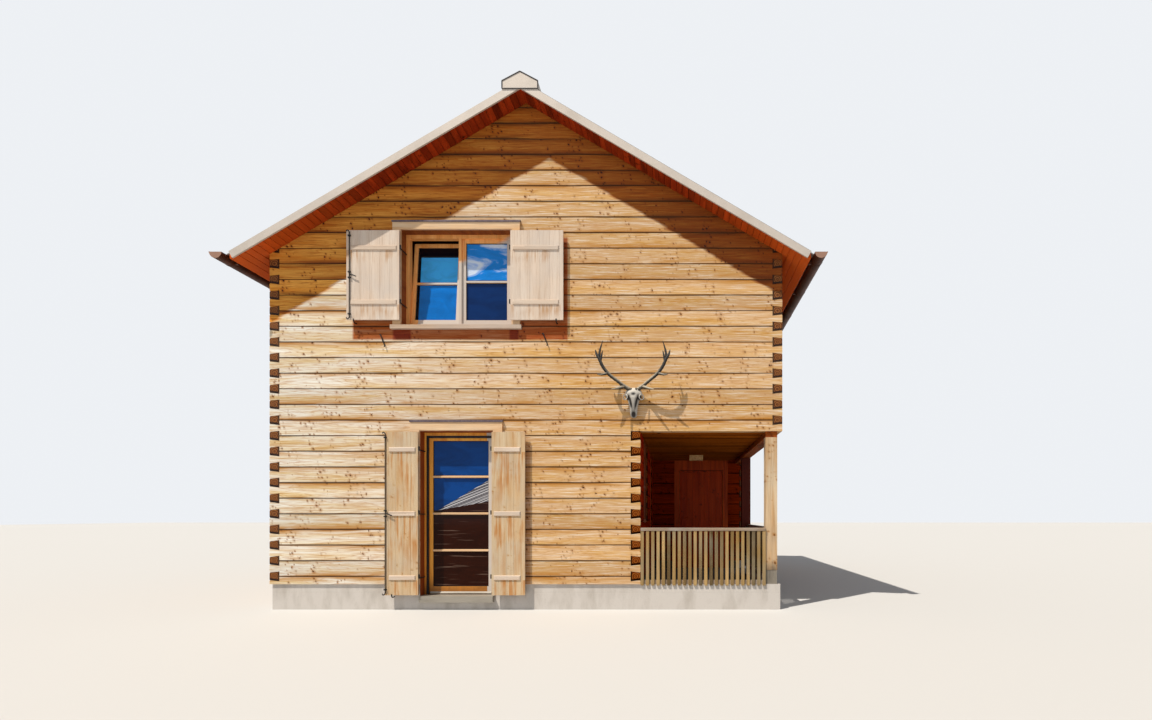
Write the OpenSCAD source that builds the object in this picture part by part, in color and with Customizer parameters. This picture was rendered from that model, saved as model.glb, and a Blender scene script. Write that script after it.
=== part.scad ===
// Alpine chalet of squared logs on a concrete plinth, with a corner porch.
// X runs to the right, Y into the depth, Z up. The origin is on the ground,
// under the middle of the house. Sizes are in millimetres.

/* [House] */
// Width over the log walls
house_w = 7300; // [7200:10:7600]
// Length over the log walls
house_l = 8400; // [8300:10:8900]
// Thickness of the log walls
wall_t = 140; // [130:1:150]
// Height of the concrete base under the logs
plinth_h = 364; // [340:1:380]
// How far the base stands back from the logs
plinth_inset = 25; // [15:1:35]
// Height of the finished ground floor
floor_z = 200; // [190:1:215]
// Thickness of the floor boards
board_t = 20; // [16:1:28]
// Height of the heads of the ground storey openings
head_z = 2545; // [2500:1:2580]
// Thickness of the upper floor
upper_floor_t = 220; // [180:1:260]

/* [Log walls] */
// Height of one course of logs
course_h = 222.5; // [215:0.5:230]
// Width of the chamfered joint between two logs
groove_w = 16; // [10:1:22]
// Depth of the chamfered joint between two logs
groove_d = 10; // [6:1:14]
// Height of a side log's end at the outer edge of the corner
tail_outer_h = 108; // [100:1:116]
// Height of a side log's end at the inner edge of the corner
tail_inner_h = 142; // [132:1:150]
// Clearance between the logs in a corner
seat_gap = 0.6; // [0.4:0.1:1.2]
// Width and depth of the shadow line round a log's end
rebate = 8; // [5:1:10]

/* [Roof] */
// Height of the roof's underside at the ridge
ridge_z = 7225; // [7150:5:7300]
// Pitch of the roof in degrees
roof_pitch = 30.5; // [30:0.5:32]
// Overhang of the eaves beyond the side walls
eave_out = 340; // [300:5:360]
// Overhang of the verges beyond the gables
verge_out = 320; // [280:5:360]
// Thickness of the boarded deck
deck_t = 62; // [50:1:75]
// Thickness of the metal sheets
sheet_t = 10; // [6:1:14]
// Height of the verge boards
verge_h = 100; // [90:1:115]
// Thickness of the verge boards
verge_t = 26; // [20:1:32]
// Width of the ridge cap
ridge_cap_w = 490; // [440:5:540]
// Height of the ridge cap's edge above the roof
ridge_cap_edge = 125; // [110:1:140]
// Height of the ridge cap's peak above the roof
ridge_cap_peak = 110; // [100:1:130]
// Outer radius of the half-round gutters
gutter_r = 84; // [80:1:95]
// Distance from the eave to the middle of a gutter
gutter_out = 114; // [112:1:125]
// Drop from the roof's edge to the gutters' rims
gutter_drop = 43; // [40:1:55]
// Thickness of the gutter's metal
gutter_t = 5; // [4:0.5:8]
// How far the gutters reach beyond the verges
gutter_end = 80; // [50:5:100]

/* [Front openings] */
// Centre line of the French door and the window above it
opening_x = -983; // [-1050:1:-900]
// Width of the French door's opening
door_w = 1046; // [1010:1:1080]
// Width of the upper window's opening
window_w = 1575; // [1500:1:1640]
// Height of the upper window's opening
window_h = 1350; // [1320:1:1380]
// Drop from the underside of the ridge to the upper window's head
window_drop = 1820; // [1790:1:1860]
// Distance from the wall's face to the frames
frame_set = 125; // [115:1:130]
// Width of the frame members
frame_w = 60; // [52:1:64]
// Depth of the frame members
frame_t = 80; // [75:1:80]
// Width of the upper window's middle post
mullion_w = 40; // [34:1:46]
// Tilt of the upper window's left sash into the room, in degrees
sash_tilt = 6.5; // [5:0.5:8]
// Width of the members of the glazed door's leaf
stile_w = 52; // [48:1:60]
// Width of the sashes' members
sash_b = 56; // [50:1:64]
// Height of the glazed door's bottom member
kick_h = 107; // [95:1:120]
// Thickness of the door leaves
leaf_t = 56; // [50:1:62]
// Running clearance round a door leaf
leaf_gap = 8; // [7.5:0.5:10]
// Thickness of the panes
pane_t = 8; // [6:1:12]
// Width of the glazing bars
bar_w = 26; // [20:1:32]
// Width of the boards round the upper window
casing_w = 115; // [105:1:120]
// Width of the boards round the glazed door
door_casing_w = 130; // [120:1:135]
// Thickness of the boards round the front openings
casing_t = 34; // [28:1:38]
// Radius of the hinge barrels
barrel_r = 9; // [7:0.5:11]
// Height of the hinge barrels
barrel_h = 100; // [80:1:120]

/* [Shutters] */
// Thickness of the shutters' boards
shutter_t = 26; // [22:1:32]
// Thickness of the shutters' battens
batten_t = 14; // [12:1:20]
// Height of the shutters' battens
batten_h = 66; // [60:1:85]
// Distance from the wall to the middle of an open shutter
shutter_off = 68; // [64:1:80]
// How far a shutter's hinge lies inside the edge of its opening
shutter_inset = 16; // [13:1:24]
// Distance from a shutter's hinge axis to its boards
shutter_eye = 12; // [12:0.5:15]
// Gap between closed door shutters
shutter_gap = 50; // [30:1:60]
// Width of the upper window's shutters
upper_shutter_w = 757; // [730:1:780]

/* [Porch] */
// Width of the porch from its inner wall to the house's right face
porch_w = 2019; // [1960:1:2080]
// Depth of the porch to its back wall
porch_l = 4300; // [4200:1:4400]
// Distance from the front to the entry post
rail_bay = 2980; // [2900:1:3060]
// Width of the porch posts
post_w = 166; // [150:1:175]
// Distance of the posts from the house's right face
post_inset_x = 68; // [50:1:80]
// Distance of the corner post from the house's front
post_inset_y = 26; // [25:1:40]
// Height of the stone blocks under the posts
post_base_h = 200; // [160:1:230]
// Height of the beam over the posts
beam_h = 85; // [75:1:100]
// Height of the top of the railing
rail_z = 1167; // [1120:1:1220]
// Height of the railing's top bar
rail_h = 45; // [38:1:55]
// Width of a railing slat
slat_w = 46; // [40:1:52]
// Distance from one slat to the next
slat_pitch = 75.5; // [72:0.5:84]
// Thickness of a railing slat
slat_t = 22; // [18:1:24]
// Height of the slats' lower ends
slat_z = 345; // [300:1:360]

/* [Porch openings] */
// Distance from the porch's inner wall to the entrance opening
entrance_x = 470; // [440:1:500]
// Width of the entrance opening
entrance_w = 1160; // [1130:1:1190]
// Width of the entrance's jambs
jamb_w = 112; // [100:1:120]
// Height of the entrance door's top
entrance_z = 2320; // [2280:1:2360]
// Distance from the front to the porch window
porch_window_y = 800; // [760:1:840]
// Width of the porch window
porch_window_w = 1250; // [1200:1:1300]
// Height of the porch window's sill
porch_window_z = 1220; // [1180:1:1260]
// Height of the porch window's head board
porch_head_h = 150; // [120:1:180]
// Distance from the store door to the porch's back wall
store_gap = 450; // [400:1:500]
// Width of the store door
store_w = 850; // [810:1:880]

/* [Other sides] */
// Width and height of the windows of the other sides
side_window = 880; // [820:5:900]
// Height of the ground storey's side window sills
side_sill_z = 1300; // [1200:5:1400]
// Height of the window openings behind the screens
screen_window_h = 600; // [540:5:640]
// Drop from the side walls' top to the windows behind the screens
screen_drop = 470; // [440:5:500]
// Length of the slatted screens
screen_l = 2400; // [2300:5:2500]
// Height of the slatted screens
screen_h = 800; // [760:5:820]
// Distance of the screens' middles from the middle of the house
screen_y = 2150; // [2050:5:2250]

/* [Ornament] */
// Distance from the middle of the house to the skull
skull_x = 1537; // [1480:1:1600]
// Height of the skull's lowest point above the ground storey's heads
skull_rise = 182; // [150:1:260]
// Length of the skull
skull_l = 420; // [380:5:440]

/* [Hidden] */
$fn = 32;

half_w = house_w / 2;
half_l = house_l / 2;
front_y = -half_l;
slab_z = floor_z - board_t;
slope = tan(roof_pitch);
deck_v = deck_t / cos(roof_pitch);
sheet_v = sheet_t / cos(roof_pitch);
eave_x = half_w + eave_out;
verge_y = half_l + verge_out;
joint = 0.5;
course_count = ceil(ridge_z / course_h);

window_head_z = ridge_z - window_drop;
window_sill_z = window_head_z - window_h;
screen_window_z = ridge_z - slope * half_w - screen_drop - screen_window_h;
skull_z = head_z + skull_rise;
roof_seat = 0.05;

porch_x = half_w - porch_w;
porch_in_x = porch_x - wall_t;
porch_y = front_y + porch_l;
entry_y = front_y + rail_bay + post_w;
post_x = half_w - post_inset_x - post_w;
post_y = front_y + post_inset_y;
post_z = plinth_h + post_base_h;
beam_z = head_z - beam_h;

door_x0 = opening_x - door_w / 2;
door_x1 = opening_x + door_w / 2;
window_x0 = opening_x - window_w / 2;
window_x1 = opening_x + window_w / 2;
frame_y = front_y + frame_set;
leaf_in_y = frame_y + frame_t;
entrance_x0 = porch_x + entrance_x;
entrance_x1 = entrance_x0 + entrance_w;
entrance_in_y = porch_y + frame_t;
pw_y0 = front_y + porch_window_y;
pw_y1 = pw_y0 + porch_window_w;
store_y1 = porch_y - store_gap;
store_y0 = store_y1 - store_w;
shutter_y = front_y - shutter_off;
shutter_z0 = floor_z + 17;
shutter_z1 = head_z - 24;
door_shutter_w = (door_w - 2 * shutter_inset - shutter_gap) / 2;
upper_shutter_z0 = window_sill_z + 47;
upper_shutter_z1 = window_head_z - 40;
batten_margin = 215;
batten_inset = 30;
batten_end = 59;
eye_r = 9;
eye_h = 45;
pintle_h = 14;
sash_w = (window_w - 2 * frame_w - mullion_w) / 2 - 2 * joint;
sash_h = window_head_z - window_sill_z - 2 * frame_w - 2 * joint;
flag_w = 24;
flag_t = 3;
hinge_end = 200;
french_w = door_w - 2 * frame_w - 2 * leaf_gap;
french_h = head_z - frame_w - floor_z - 2 * leaf_gap;
french_axis = [door_x0 + frame_w + leaf_gap / 2, leaf_in_y + barrel_r, floor_z + leaf_gap];
entrance_h = entrance_z - floor_z - 2 * leaf_gap;
entrance_axis = [entrance_x1 - jamb_w - leaf_gap / 2, entrance_in_y + barrel_r,
    floor_z + leaf_gap];
sill_out = 50;
sill_drop = 70;
mitre_gap = 0.7;
casing_rise = 8;
board_reach = 140;
board_out = 60;
board_h = 55;
board_gap = 12;
bracket_w = 30;
bracket_count = 9;
bracket_end = 200;
bracket_wrap = 3;
bracket_clear = 10;
sheet_out = 45;
plate_t = 4;
plate_rise = 28;
rail_back = 66;
rail_nose = 6;
slat_clear = 15;
foot_w = 40;
foot_h = 60;
base_inset = 4;
lamp_w = 265;
lamp_d = 120;
lamp_share = 0.44;
handle_w = 40;
handle_t = 6;
lever_r = 10;
lever_out = 48;
lever_l = 110;
handle_x = 62;
handle_z = 1100;
store_set = 20;
screen_post = 70;
screen_depth = 90;
screen_sill_h = 40;
screen_sill_out = 110;
screen_sill_reach = 30;
screen_rail_h = 60;
screen_slat_w = 40;
screen_slat_t = 20;
screen_slat_pitch = 80;
back_lower_x = 1500;
back_upper_x = 1000;

log_colour = "burlywood";
shade_colour = "saddlebrown";
frame_colour = "peru";
metal_colour = "gainsboro";
copper_colour = "rosybrown";
concrete_colour = "lightgray";
iron_colour = "dimgray";
glass_colour = "lightslategray";

// Underside of the roof at a distance from the ridge line
function under_roof(x) = ridge_z - slope * abs(x);
// Top of the walls, just under the roof
function wall_top(x) = under_roof(x) - roof_seat;
// Top of the metal sheets at a distance from the ridge line
function over_roof(x) = under_roof(x) + deck_v + sheet_v;
// Heights of the joints between two courses inside a stretch of wall
function joint_heights(z0, z1, phase) = [
    for (k = [0:course_count])
        let (z = plinth_h + phase + k * course_h)
        if (z > z0 + groove_w && z < z1 - groove_w) z];
// Section through a wall, its joints chamfered on both faces
function log_section(z0, z1_out, z1_in, phase) =
    let (js = joint_heights(z0, min(z1_out, z1_in), phase), n = len(js), g = groove_w / 2)
    concat(
        [[0, z0]],
        [for (z = js) each [[0, z - g], [groove_d, z], [0, z + g]]],
        [[0, z1_out], [wall_t, z1_in]],
        [for (i = [1:1:n]) let (z = js[n - i])
            each [[wall_t, z + g], [wall_t - groove_d, z], [wall_t, z - g]]],
        [[wall_t, z0]]);

// Plain bar between two corners
module bar(a, b) {
    translate(a) cube([b[0] - a[0], b[1] - a[1], b[2] - a[2]]);
}
// Wall of logs that run along X, with its outer face at y0
module logs_along_x(x0, x1, y0, z0, z1) {
    translate([x0, y0, 0]) rotate([90, 0, 90])
        linear_extrude(x1 - x0) polygon(log_section(z0, z1, z1, course_h / 2));
}
// Wall of logs that run along Y, with its outer face at x0 and its top sloped
module logs_along_y(x0, y0, y1, z0, z1_out, z1_in) {
    translate([x0, y1, 0]) rotate([90, 0, 0])
        linear_extrude(y1 - y0) polygon(log_section(z0, z1_out, z1_in, 0));
}
// Outline of everything below the roof, drawn across the house
module below_roof() {
    edge = half_w + wall_t;
    polygon([[-edge, 0], [edge, 0], [edge, wall_top(edge)], [0, wall_top(0)],
        [-edge, wall_top(edge)]]);
}
// Prism along Y from an outline drawn in X and Z
module across(y0, y1) {
    translate([0, y1, 0]) rotate([90, 0, 0]) linear_extrude(y1 - y0) children();
}
// Tapered ends of the courses in a corner: out is the outer edge's x, dir points inwards.
// phase 0.5 gives the side logs' tails and 0 the front logs' tongues between them.
module log_ends(out, dir, phase, z0, z1, shrink, step) {
    h_out = (phase == 0 ? course_h - tail_outer_h : tail_outer_h) - seat_gap - 2 * shrink;
    h_in = (phase == 0 ? course_h - tail_inner_h : tail_inner_h) - seat_gap - 2 * shrink;
    depth = wall_t - (phase == 0 ? 0 : seat_gap) - shrink;
    h_step = h_out + (h_in - h_out) * step / depth;
    intersection() {
        for (k = [0:course_count]) {
            z = plinth_h + (k + phase) * course_h;
            if (z >= z0 && z < z1)
                if (step > 0)
                    polygon([
                        [out, z - h_out / 2 + step], [out + dir * step, z - h_out / 2 + step],
                        [out + dir * step, z - h_step / 2], [out + dir * depth, z - h_in / 2],
                        [out + dir * depth, z + h_in / 2], [out + dir * step, z + h_step / 2],
                        [out + dir * step, z + h_out / 2 - step], [out, z + h_out / 2 - step]]);
                else
                    polygon([
                        [out, z - h_out / 2], [out + dir * depth, z - h_in / 2],
                        [out + dir * depth, z + h_in / 2], [out, z + h_out / 2]]);
        }
        intersection() {
            below_roof();
            translate([-house_w, plinth_h]) square([2 * house_w, ridge_z]);
        }
    }
}
// Tails of the side logs through one corner, with a shadow line round the showing end
module tails(out, dir, y_face, y_dir, z0, z1) {
    y_step = y_face + y_dir * rebate;
    y_end = y_face + y_dir * wall_t;
    across(min(y_face, y_step), max(y_face, y_step)) log_ends(out, dir, 0.5, z0, z1, rebate, 0);
    across(min(y_step, y_end), max(y_step, y_end)) log_ends(out, dir, 0.5, z0, z1, 0, 0);
}
// Tongues of the front logs through one corner
module tongues(out, dir, y0, z0, z1) {
    across(y0, y0 + wall_t) log_ends(out, dir, 0, z0, z1, 0, rebate);
}
// Turns what is drawn for the front so that it stands on another side
module on_side(angle, half) {
    rotate([0, 0, angle]) translate([0, -half, 0]) children();
}

module foundation() {
    color(concrete_colour)
        bar([-half_w + plinth_inset, -half_l + plinth_inset, 0],
            [half_w - plinth_inset, half_l - plinth_inset, slab_z]);
}

module plinth_walls() {
    out_x = half_w - plinth_inset;
    out_y = half_l - plinth_inset;
    in_x = half_w - wall_t;
    in_y = half_l - wall_t;
    color(concrete_colour) {
        bar([-out_x, -out_y, slab_z], [door_x0, -in_y, plinth_h]);
        bar([door_x1, -out_y, slab_z], [out_x, -in_y, plinth_h]);
        bar([-out_x, in_y, slab_z], [out_x, out_y, plinth_h]);
        bar([-out_x, -in_y + joint, slab_z], [-in_x, in_y - joint, plinth_h]);
        bar([in_x, -in_y + joint, slab_z], [out_x, entry_y, plinth_h]);
        bar([in_x, porch_y + plinth_inset, slab_z], [out_x, in_y - joint, plinth_h]);
        bar([porch_in_x, -in_y + joint, slab_z], [porch_x - plinth_inset, store_y0, plinth_h]);
        bar([porch_in_x, store_y1, slab_z], [porch_x - plinth_inset, porch_y + wall_t, plinth_h]);
        bar([porch_x - plinth_inset + joint, porch_y + plinth_inset, slab_z],
            [entrance_x0, porch_y + wall_t, plinth_h]);
        bar([entrance_x1, porch_y + plinth_inset, slab_z],
            [in_x - joint, porch_y + wall_t, plinth_h]);
    }
}

module ground_floor() {
    in_x = half_w - wall_t;
    in_y = half_l - wall_t;
    color("sienna") {
        bar([-in_x, -in_y, slab_z], [porch_in_x, in_y, floor_z]);
        bar([porch_in_x, porch_y + wall_t, slab_z], [in_x, in_y, floor_z]);
        bar([entrance_x0, porch_y + plinth_inset, slab_z],
            [entrance_x1, porch_y + wall_t, floor_z]);
        bar([porch_in_x, store_y0, slab_z], [porch_x - plinth_inset, store_y1, floor_z]);
    }
}

module porch_floor() {
    color("tan") {
        bar([porch_x - plinth_inset, -half_l + wall_t, slab_z],
            [half_w - wall_t, porch_y + plinth_inset, floor_z]);
        bar([half_w - wall_t, entry_y, slab_z],
            [half_w - plinth_inset, porch_y + plinth_inset, floor_z]);
    }
}

module upper_floor() {
    color("peru")
        bar([-half_w + wall_t, -half_l + wall_t, head_z],
            [half_w - wall_t, half_l - wall_t, head_z + upper_floor_t]);
}

module front_wall_left() {
    color(log_colour) {
        logs_along_x(-half_w + wall_t, door_x0, front_y, plinth_h, head_z);
        tongues(-half_w, 1, front_y, plinth_h, head_z);
    }
}

module front_wall_middle() {
    color(log_colour) {
        logs_along_x(door_x1, porch_in_x, front_y, plinth_h, head_z);
        intersection() {
            tongues(porch_x, -1, front_y, plinth_h, head_z);
            bar([porch_in_x, front_y, 0], [porch_x, front_y + wall_t, head_z]);
        }
    }
}

module front_wall_band() {
    color(log_colour) {
        logs_along_x(-half_w + wall_t, half_w - wall_t, front_y, head_z, window_sill_z);
        tongues(-half_w, 1, front_y, head_z, window_sill_z);
        intersection() {
            tongues(half_w, -1, front_y, head_z, window_sill_z);
            bar([half_w - wall_t, front_y, head_z], [half_w, front_y + wall_t, ridge_z]);
        }
    }
}

// Piece of a gable wall, its top cut to the slope of the roof
module gable_piece(x0, x1, y0, z0, z1) {
    intersection() {
        logs_along_x(x0, x1, y0, z0, z1);
        across(y0 - wall_t, y0 + 2 * wall_t) below_roof();
    }
}

module front_wall_upper_left() {
    color(log_colour) {
        gable_piece(-half_w + wall_t, window_x0, front_y, window_sill_z, window_head_z);
        tongues(-half_w, 1, front_y, window_sill_z, window_head_z);
    }
}

module front_wall_upper_right() {
    color(log_colour) {
        gable_piece(window_x1, half_w - wall_t, front_y, window_sill_z, window_head_z);
        tongues(half_w, -1, front_y, window_sill_z, window_head_z);
    }
}

module front_gable() {
    half = (ridge_z - window_head_z) / slope + wall_t;
    color(log_colour) gable_piece(-half, half, front_y, window_head_z, ridge_z);
}

// Window opening through a side wall, centred at u along the wall as seen from outside
module window_hole(u, w, z, h) {
    bar([u - w / 2, -wall_t, z], [u + w / 2, 2 * wall_t, z + h]);
}

// Openings of one long side: two ground windows and two behind the screens
module side_holes(us) {
    for (u = us) window_hole(u, side_window, side_sill_z, side_window);
    for (s = [-1, 1])
        window_hole(s * screen_y, side_window, screen_window_z, screen_window_h);
}

module left_wall() {
    color(log_colour) difference() {
        union() {
            logs_along_y(-half_w, front_y + wall_t, half_l - wall_t, plinth_h,
                wall_top(half_w), wall_top(half_w - wall_t));
            tails(-half_w, 1, front_y, 1, plinth_h, ridge_z);
            tails(-half_w, 1, half_l, -1, plinth_h, ridge_z);
        }
        on_side(-90, half_w) side_holes([-screen_y, screen_y]);
    }
}

module right_wall_lower() {
    color(log_colour) difference() {
        mirror([1, 0, 0]) {
            logs_along_y(-half_w, porch_y + wall_t, half_l - wall_t, plinth_h, head_z, head_z);
            intersection() {
                union() {
                    tails(-half_w, 1, porch_y, 1, plinth_h, head_z);
                    tails(-half_w, 1, half_l, -1, plinth_h, head_z);
                }
                bar([-half_w, front_y, 0], [-half_w + wall_t, half_l, head_z]);
            }
        }
        on_side(90, half_w) window_hole(screen_y, side_window, side_sill_z, side_window);
    }
}

module right_wall_upper() {
    color(log_colour) difference() {
        mirror([1, 0, 0]) {
            logs_along_y(-half_w, front_y + wall_t, half_l - wall_t, head_z,
                wall_top(half_w), wall_top(half_w - wall_t));
            tails(-half_w, 1, front_y, 1, head_z, ridge_z);
            intersection() {
                tails(-half_w, 1, half_l, -1, head_z, ridge_z);
                bar([-half_w, 0, head_z], [-half_w + wall_t, half_l, ridge_z]);
            }
        }
        on_side(90, half_w) side_holes([]);
    }
}

module back_wall() {
    y0 = half_l - wall_t;
    color(log_colour) difference() {
        union() {
            gable_piece(-half_w + wall_t, half_w - wall_t, y0, plinth_h, ridge_z);
            tongues(-half_w, 1, y0, plinth_h, ridge_z);
            tongues(half_w, -1, y0, plinth_h, ridge_z);
        }
        on_side(180, half_l)
            for (s = [-1, 1]) {
                window_hole(s * back_lower_x, side_window, side_sill_z, side_window);
                window_hole(s * back_upper_x, side_window, window_sill_z, side_window);
            }
    }
}

// Stretch of the porch's inner wall, its outer face towards the porch
module porch_logs(y0, y1, z0, z1) {
    mirror([1, 0, 0]) logs_along_y(-porch_x, y0, y1, z0, z1, z1);
}

// Tails of the porch's inner wall in its front corner
module porch_tails(z0, z1) {
    intersection() {
        tails(porch_x, -1, front_y, 1, z0, z1);
        bar([porch_in_x, front_y, 0], [porch_x, front_y + wall_t, head_z]);
    }
}

module porch_wall_sill() {
    color(shade_colour) {
        porch_logs(front_y + wall_t, store_y0, plinth_h, porch_window_z);
        porch_tails(plinth_h, porch_window_z);
    }
}

module porch_wall_front() {
    color(shade_colour) {
        porch_logs(front_y + wall_t, pw_y0, porch_window_z, head_z);
        porch_tails(porch_window_z, head_z);
    }
}

module porch_wall_middle() {
    color(shade_colour) porch_logs(pw_y1, store_y0, porch_window_z, head_z);
}

module porch_wall_back() {
    color(shade_colour) porch_logs(store_y1, porch_y + wall_t, plinth_h, head_z);
}

module porch_back_left() {
    color(shade_colour) logs_along_x(porch_x, entrance_x0, porch_y, plinth_h, head_z);
}

module porch_back_right() {
    color(shade_colour) {
        logs_along_x(entrance_x1, half_w - wall_t, porch_y, plinth_h, head_z);
        intersection() {
            tongues(half_w, -1, porch_y, plinth_h, head_z);
            bar([porch_x, porch_y, 0], [half_w, porch_y + wall_t, head_z]);
        }
    }
}

// One half of the boarded deck, drawn for the left side
module roof_deck() {
    across(-verge_y + verge_t, verge_y - verge_t)
        polygon([[0, ridge_z], [0, ridge_z + deck_v],
            [-eave_x, under_roof(eave_x) + deck_v], [-eave_x, under_roof(eave_x)]]);
}
module roof_deck_left() { color("sienna") roof_deck(); }
module roof_deck_right() { color("sienna") mirror([1, 0, 0]) roof_deck(); }

module roof_sheets() {
    edge_x = eave_x + sheet_out;
    seated_v = sheet_v - roof_seat;
    color(metal_colour) for (m = [0, 1]) mirror([m, 0, 0])
        across(-verge_y + verge_t, verge_y - verge_t)
            polygon([[-joint, over_roof(joint)], [-joint, over_roof(joint) - seated_v],
                [-edge_x, over_roof(edge_x) - seated_v], [-edge_x, over_roof(edge_x)]]);
}

module ridge_cap() {
    w = ridge_cap_w / 2;
    plate_z = over_roof(w) + plate_rise;
    edge_z = over_roof(w) + ridge_cap_edge;
    peak_z = over_roof(0) + ridge_cap_peak;
    color(metal_colour) {
        across(-verge_y - plate_t, verge_y + plate_t)
            polygon([[-w, over_roof(w) + roof_seat], [-w, edge_z], [0, peak_z], [w, edge_z],
                [w, over_roof(w) + roof_seat], [0, over_roof(0) + roof_seat]]);
        for (m = [0, 1]) mirror([0, m, 0])
            across(-verge_y - plate_t, -verge_y - roof_seat)
                polygon([[-w, plate_z], [-w, edge_z], [0, peak_z], [w, edge_z], [w, plate_z]]);
    }
}

module verges() {
    drop = verge_h / cos(roof_pitch);
    end_x = eave_x - verge_h * sin(roof_pitch);
    color(metal_colour) for (m = [0, 1]) mirror([m, 0, 0]) for (n = [0, 1]) mirror([0, n, 0])
        across(-verge_y, -verge_y + verge_t - joint)
            polygon([[-joint, over_roof(joint)], [-joint, over_roof(joint) - drop],
                [-end_x, over_roof(end_x) - drop], [-eave_x, over_roof(eave_x)]]);
}

module gutters() {
    bracket_r = gutter_r + bracket_wrap;
    end_y = verge_y - bracket_end;
    x = eave_x + gutter_out;
    z = over_roof(eave_x) - gutter_drop;
    reach = verge_y + gutter_end;
    color(copper_colour) for (m = [0, 1]) mirror([m, 0, 0]) difference() {
        union() {
            translate([-x, reach, z]) rotate([90, 0, 0]) cylinder(r = gutter_r, h = 2 * reach);
            for (i = [0:bracket_count - 1])
                translate([-x, -end_y + i * 2 * end_y / (bracket_count - 1), z]) {
                    rotate([90, 0, 0]) cylinder(r = bracket_r, h = bracket_w);
                    bar([gutter_r - gutter_t, -bracket_w, -deck_t],
                        [gutter_out, 0, -bracket_clear]);
                }
        }
        translate([-x, reach - gutter_t, z]) rotate([90, 0, 0])
            cylinder(r = gutter_r - gutter_t, h = 2 * (reach - gutter_t));
        bar([-x - bracket_r, -reach, z], [-x + bracket_r, reach, z + bracket_r]);
    }
}

module upper_window_frame() {
    w = frame_w;
    color(frame_colour) {
        bar([window_x0, frame_y, window_sill_z], [window_x0 + w, leaf_in_y, window_head_z]);
        bar([window_x1 - w, frame_y, window_sill_z], [window_x1, leaf_in_y, window_head_z]);
        bar([window_x0 + w + joint, frame_y, window_sill_z],
            [window_x1 - w - joint, leaf_in_y, window_sill_z + w]);
        bar([window_x0 + w + joint, frame_y, window_head_z - w],
            [window_x1 - w - joint, leaf_in_y, window_head_z]);
        bar([opening_x - mullion_w / 2, frame_y, window_sill_z + w + joint],
            [opening_x + mullion_w / 2, leaf_in_y, window_head_z - w - joint]);
    }
}

// Places what is drawn for one sash in both halves of the upper window; the left one is
// tilted about the inner edge of its foot
module each_sash() {
    for (at = [[window_x0 + frame_w + joint, sash_tilt], [opening_x + mullion_w / 2 + joint, 0]])
        translate([at[0], leaf_in_y, window_sill_z + frame_w + joint]) rotate([-at[1], 0, 0])
            children();
}

// Heights of a door's hinges above the bottom of its leaf
function hinge_heights(h) = [hinge_end, h / 2, h - hinge_end];
// Hinge barrels on the room face of a door: part 0 is carried by the jamb, part 1 by the leaf.
// The axis is at the origin, the jamb on the side of -X, and the room beyond +Y.
module barrels(h, part) {
    h_part = (barrel_h - seat_gap) / 2;
    for (z = hinge_heights(h)) translate([0, 0, z + part * (h_part + seat_gap)]) {
        cylinder(r = barrel_r, h = h_part);
        bar([part == 0 ? -flag_w : 0, -barrel_r, 0],
            [part == 0 ? 0 : flag_w, -barrel_r + flag_t, h_part]);
    }
}

// Panes of a glazed leaf with level glazing bars; foot is the height of its bottom member
module leaf_panes(w, h, b, foot, bars) {
    pane = (h - b - foot - bars * bar_w) / (bars + 1);
    for (i = [0:bars]) translate([b, foot + i * (pane + bar_w)]) square([w - 2 * b, pane]);
}

// Front view of a glazed leaf without its panes
module leaf_outline(w, h, b, foot, bars) {
    difference() {
        square([w, h]);
        leaf_panes(w, h, b, foot, bars);
    }
}

module upper_window_sashes() {
    color(frame_colour) each_sash() rotate([90, 0, 0])
        linear_extrude(leaf_t) leaf_outline(sash_w, sash_h, sash_b, sash_b, 1);
}

module upper_window_glass() {
    color(glass_colour) each_sash() translate([0, -leaf_t / 2 + pane_t / 2, 0])
        rotate([90, 0, 0]) linear_extrude(pane_t) leaf_panes(sash_w, sash_h, sash_b, sash_b, 1);
}

// Boarded shutter with battens on its face, from its hinge to the left
module shutter(w, z0, z1, battens) {
    gap = (z1 - z0 - 2 * batten_margin - batten_h) / (battens - 1);
    bar([-w, -shutter_t / 2, z0], [-shutter_eye, shutter_t / 2, z1]);
    for (i = [0:battens - 1]) translate([0, 0, z0 + batten_margin + i * gap]) {
        bar([-w + batten_end, -shutter_t / 2 - batten_t, 0],
            [-shutter_eye - batten_inset, -shutter_t / 2, batten_h]);
        translate([0, 0, batten_h / 2]) {
            cylinder(r = eye_r, h = eye_h);
            bar([-shutter_eye, -eye_r / 2, 0], [0, eye_r / 2, eye_h]);
        }
    }
}

// Brackets under the eyes of a shutter, reaching back to the frame
module pintles(z0, z1, battens, seat) {
    gap = (z1 - z0 - 2 * batten_margin - batten_h) / (battens - 1);
    for (i = [0:battens - 1])
        translate([0, 0, z0 + batten_margin + i * gap + batten_h / 2 - seat - pintle_h]) {
            cylinder(r = eye_r, h = pintle_h);
            bar([-eye_r / 2, 0, 0], [eye_r / 2, frame_y - shutter_y, pintle_h]);
        }
}

module upper_shutters() {
    color(log_colour) for (m = [0, 1])
        translate([m == 0 ? window_x0 + shutter_inset : window_x1 - shutter_inset, shutter_y, 0])
            mirror([m, 0, 0])
                shutter(upper_shutter_w, upper_shutter_z0, upper_shutter_z1, 2);
}

module shutter_left() {
    color(log_colour) translate([door_x0 + shutter_inset, shutter_y, 0])
        shutter(door_shutter_w, shutter_z0, shutter_z1, 3);
}

module shutter_right() {
    color(log_colour) translate([door_x1 - shutter_inset, shutter_y, 0]) mirror([1, 0, 0])
        shutter(door_shutter_w, shutter_z0, shutter_z1, 3);
}

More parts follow.
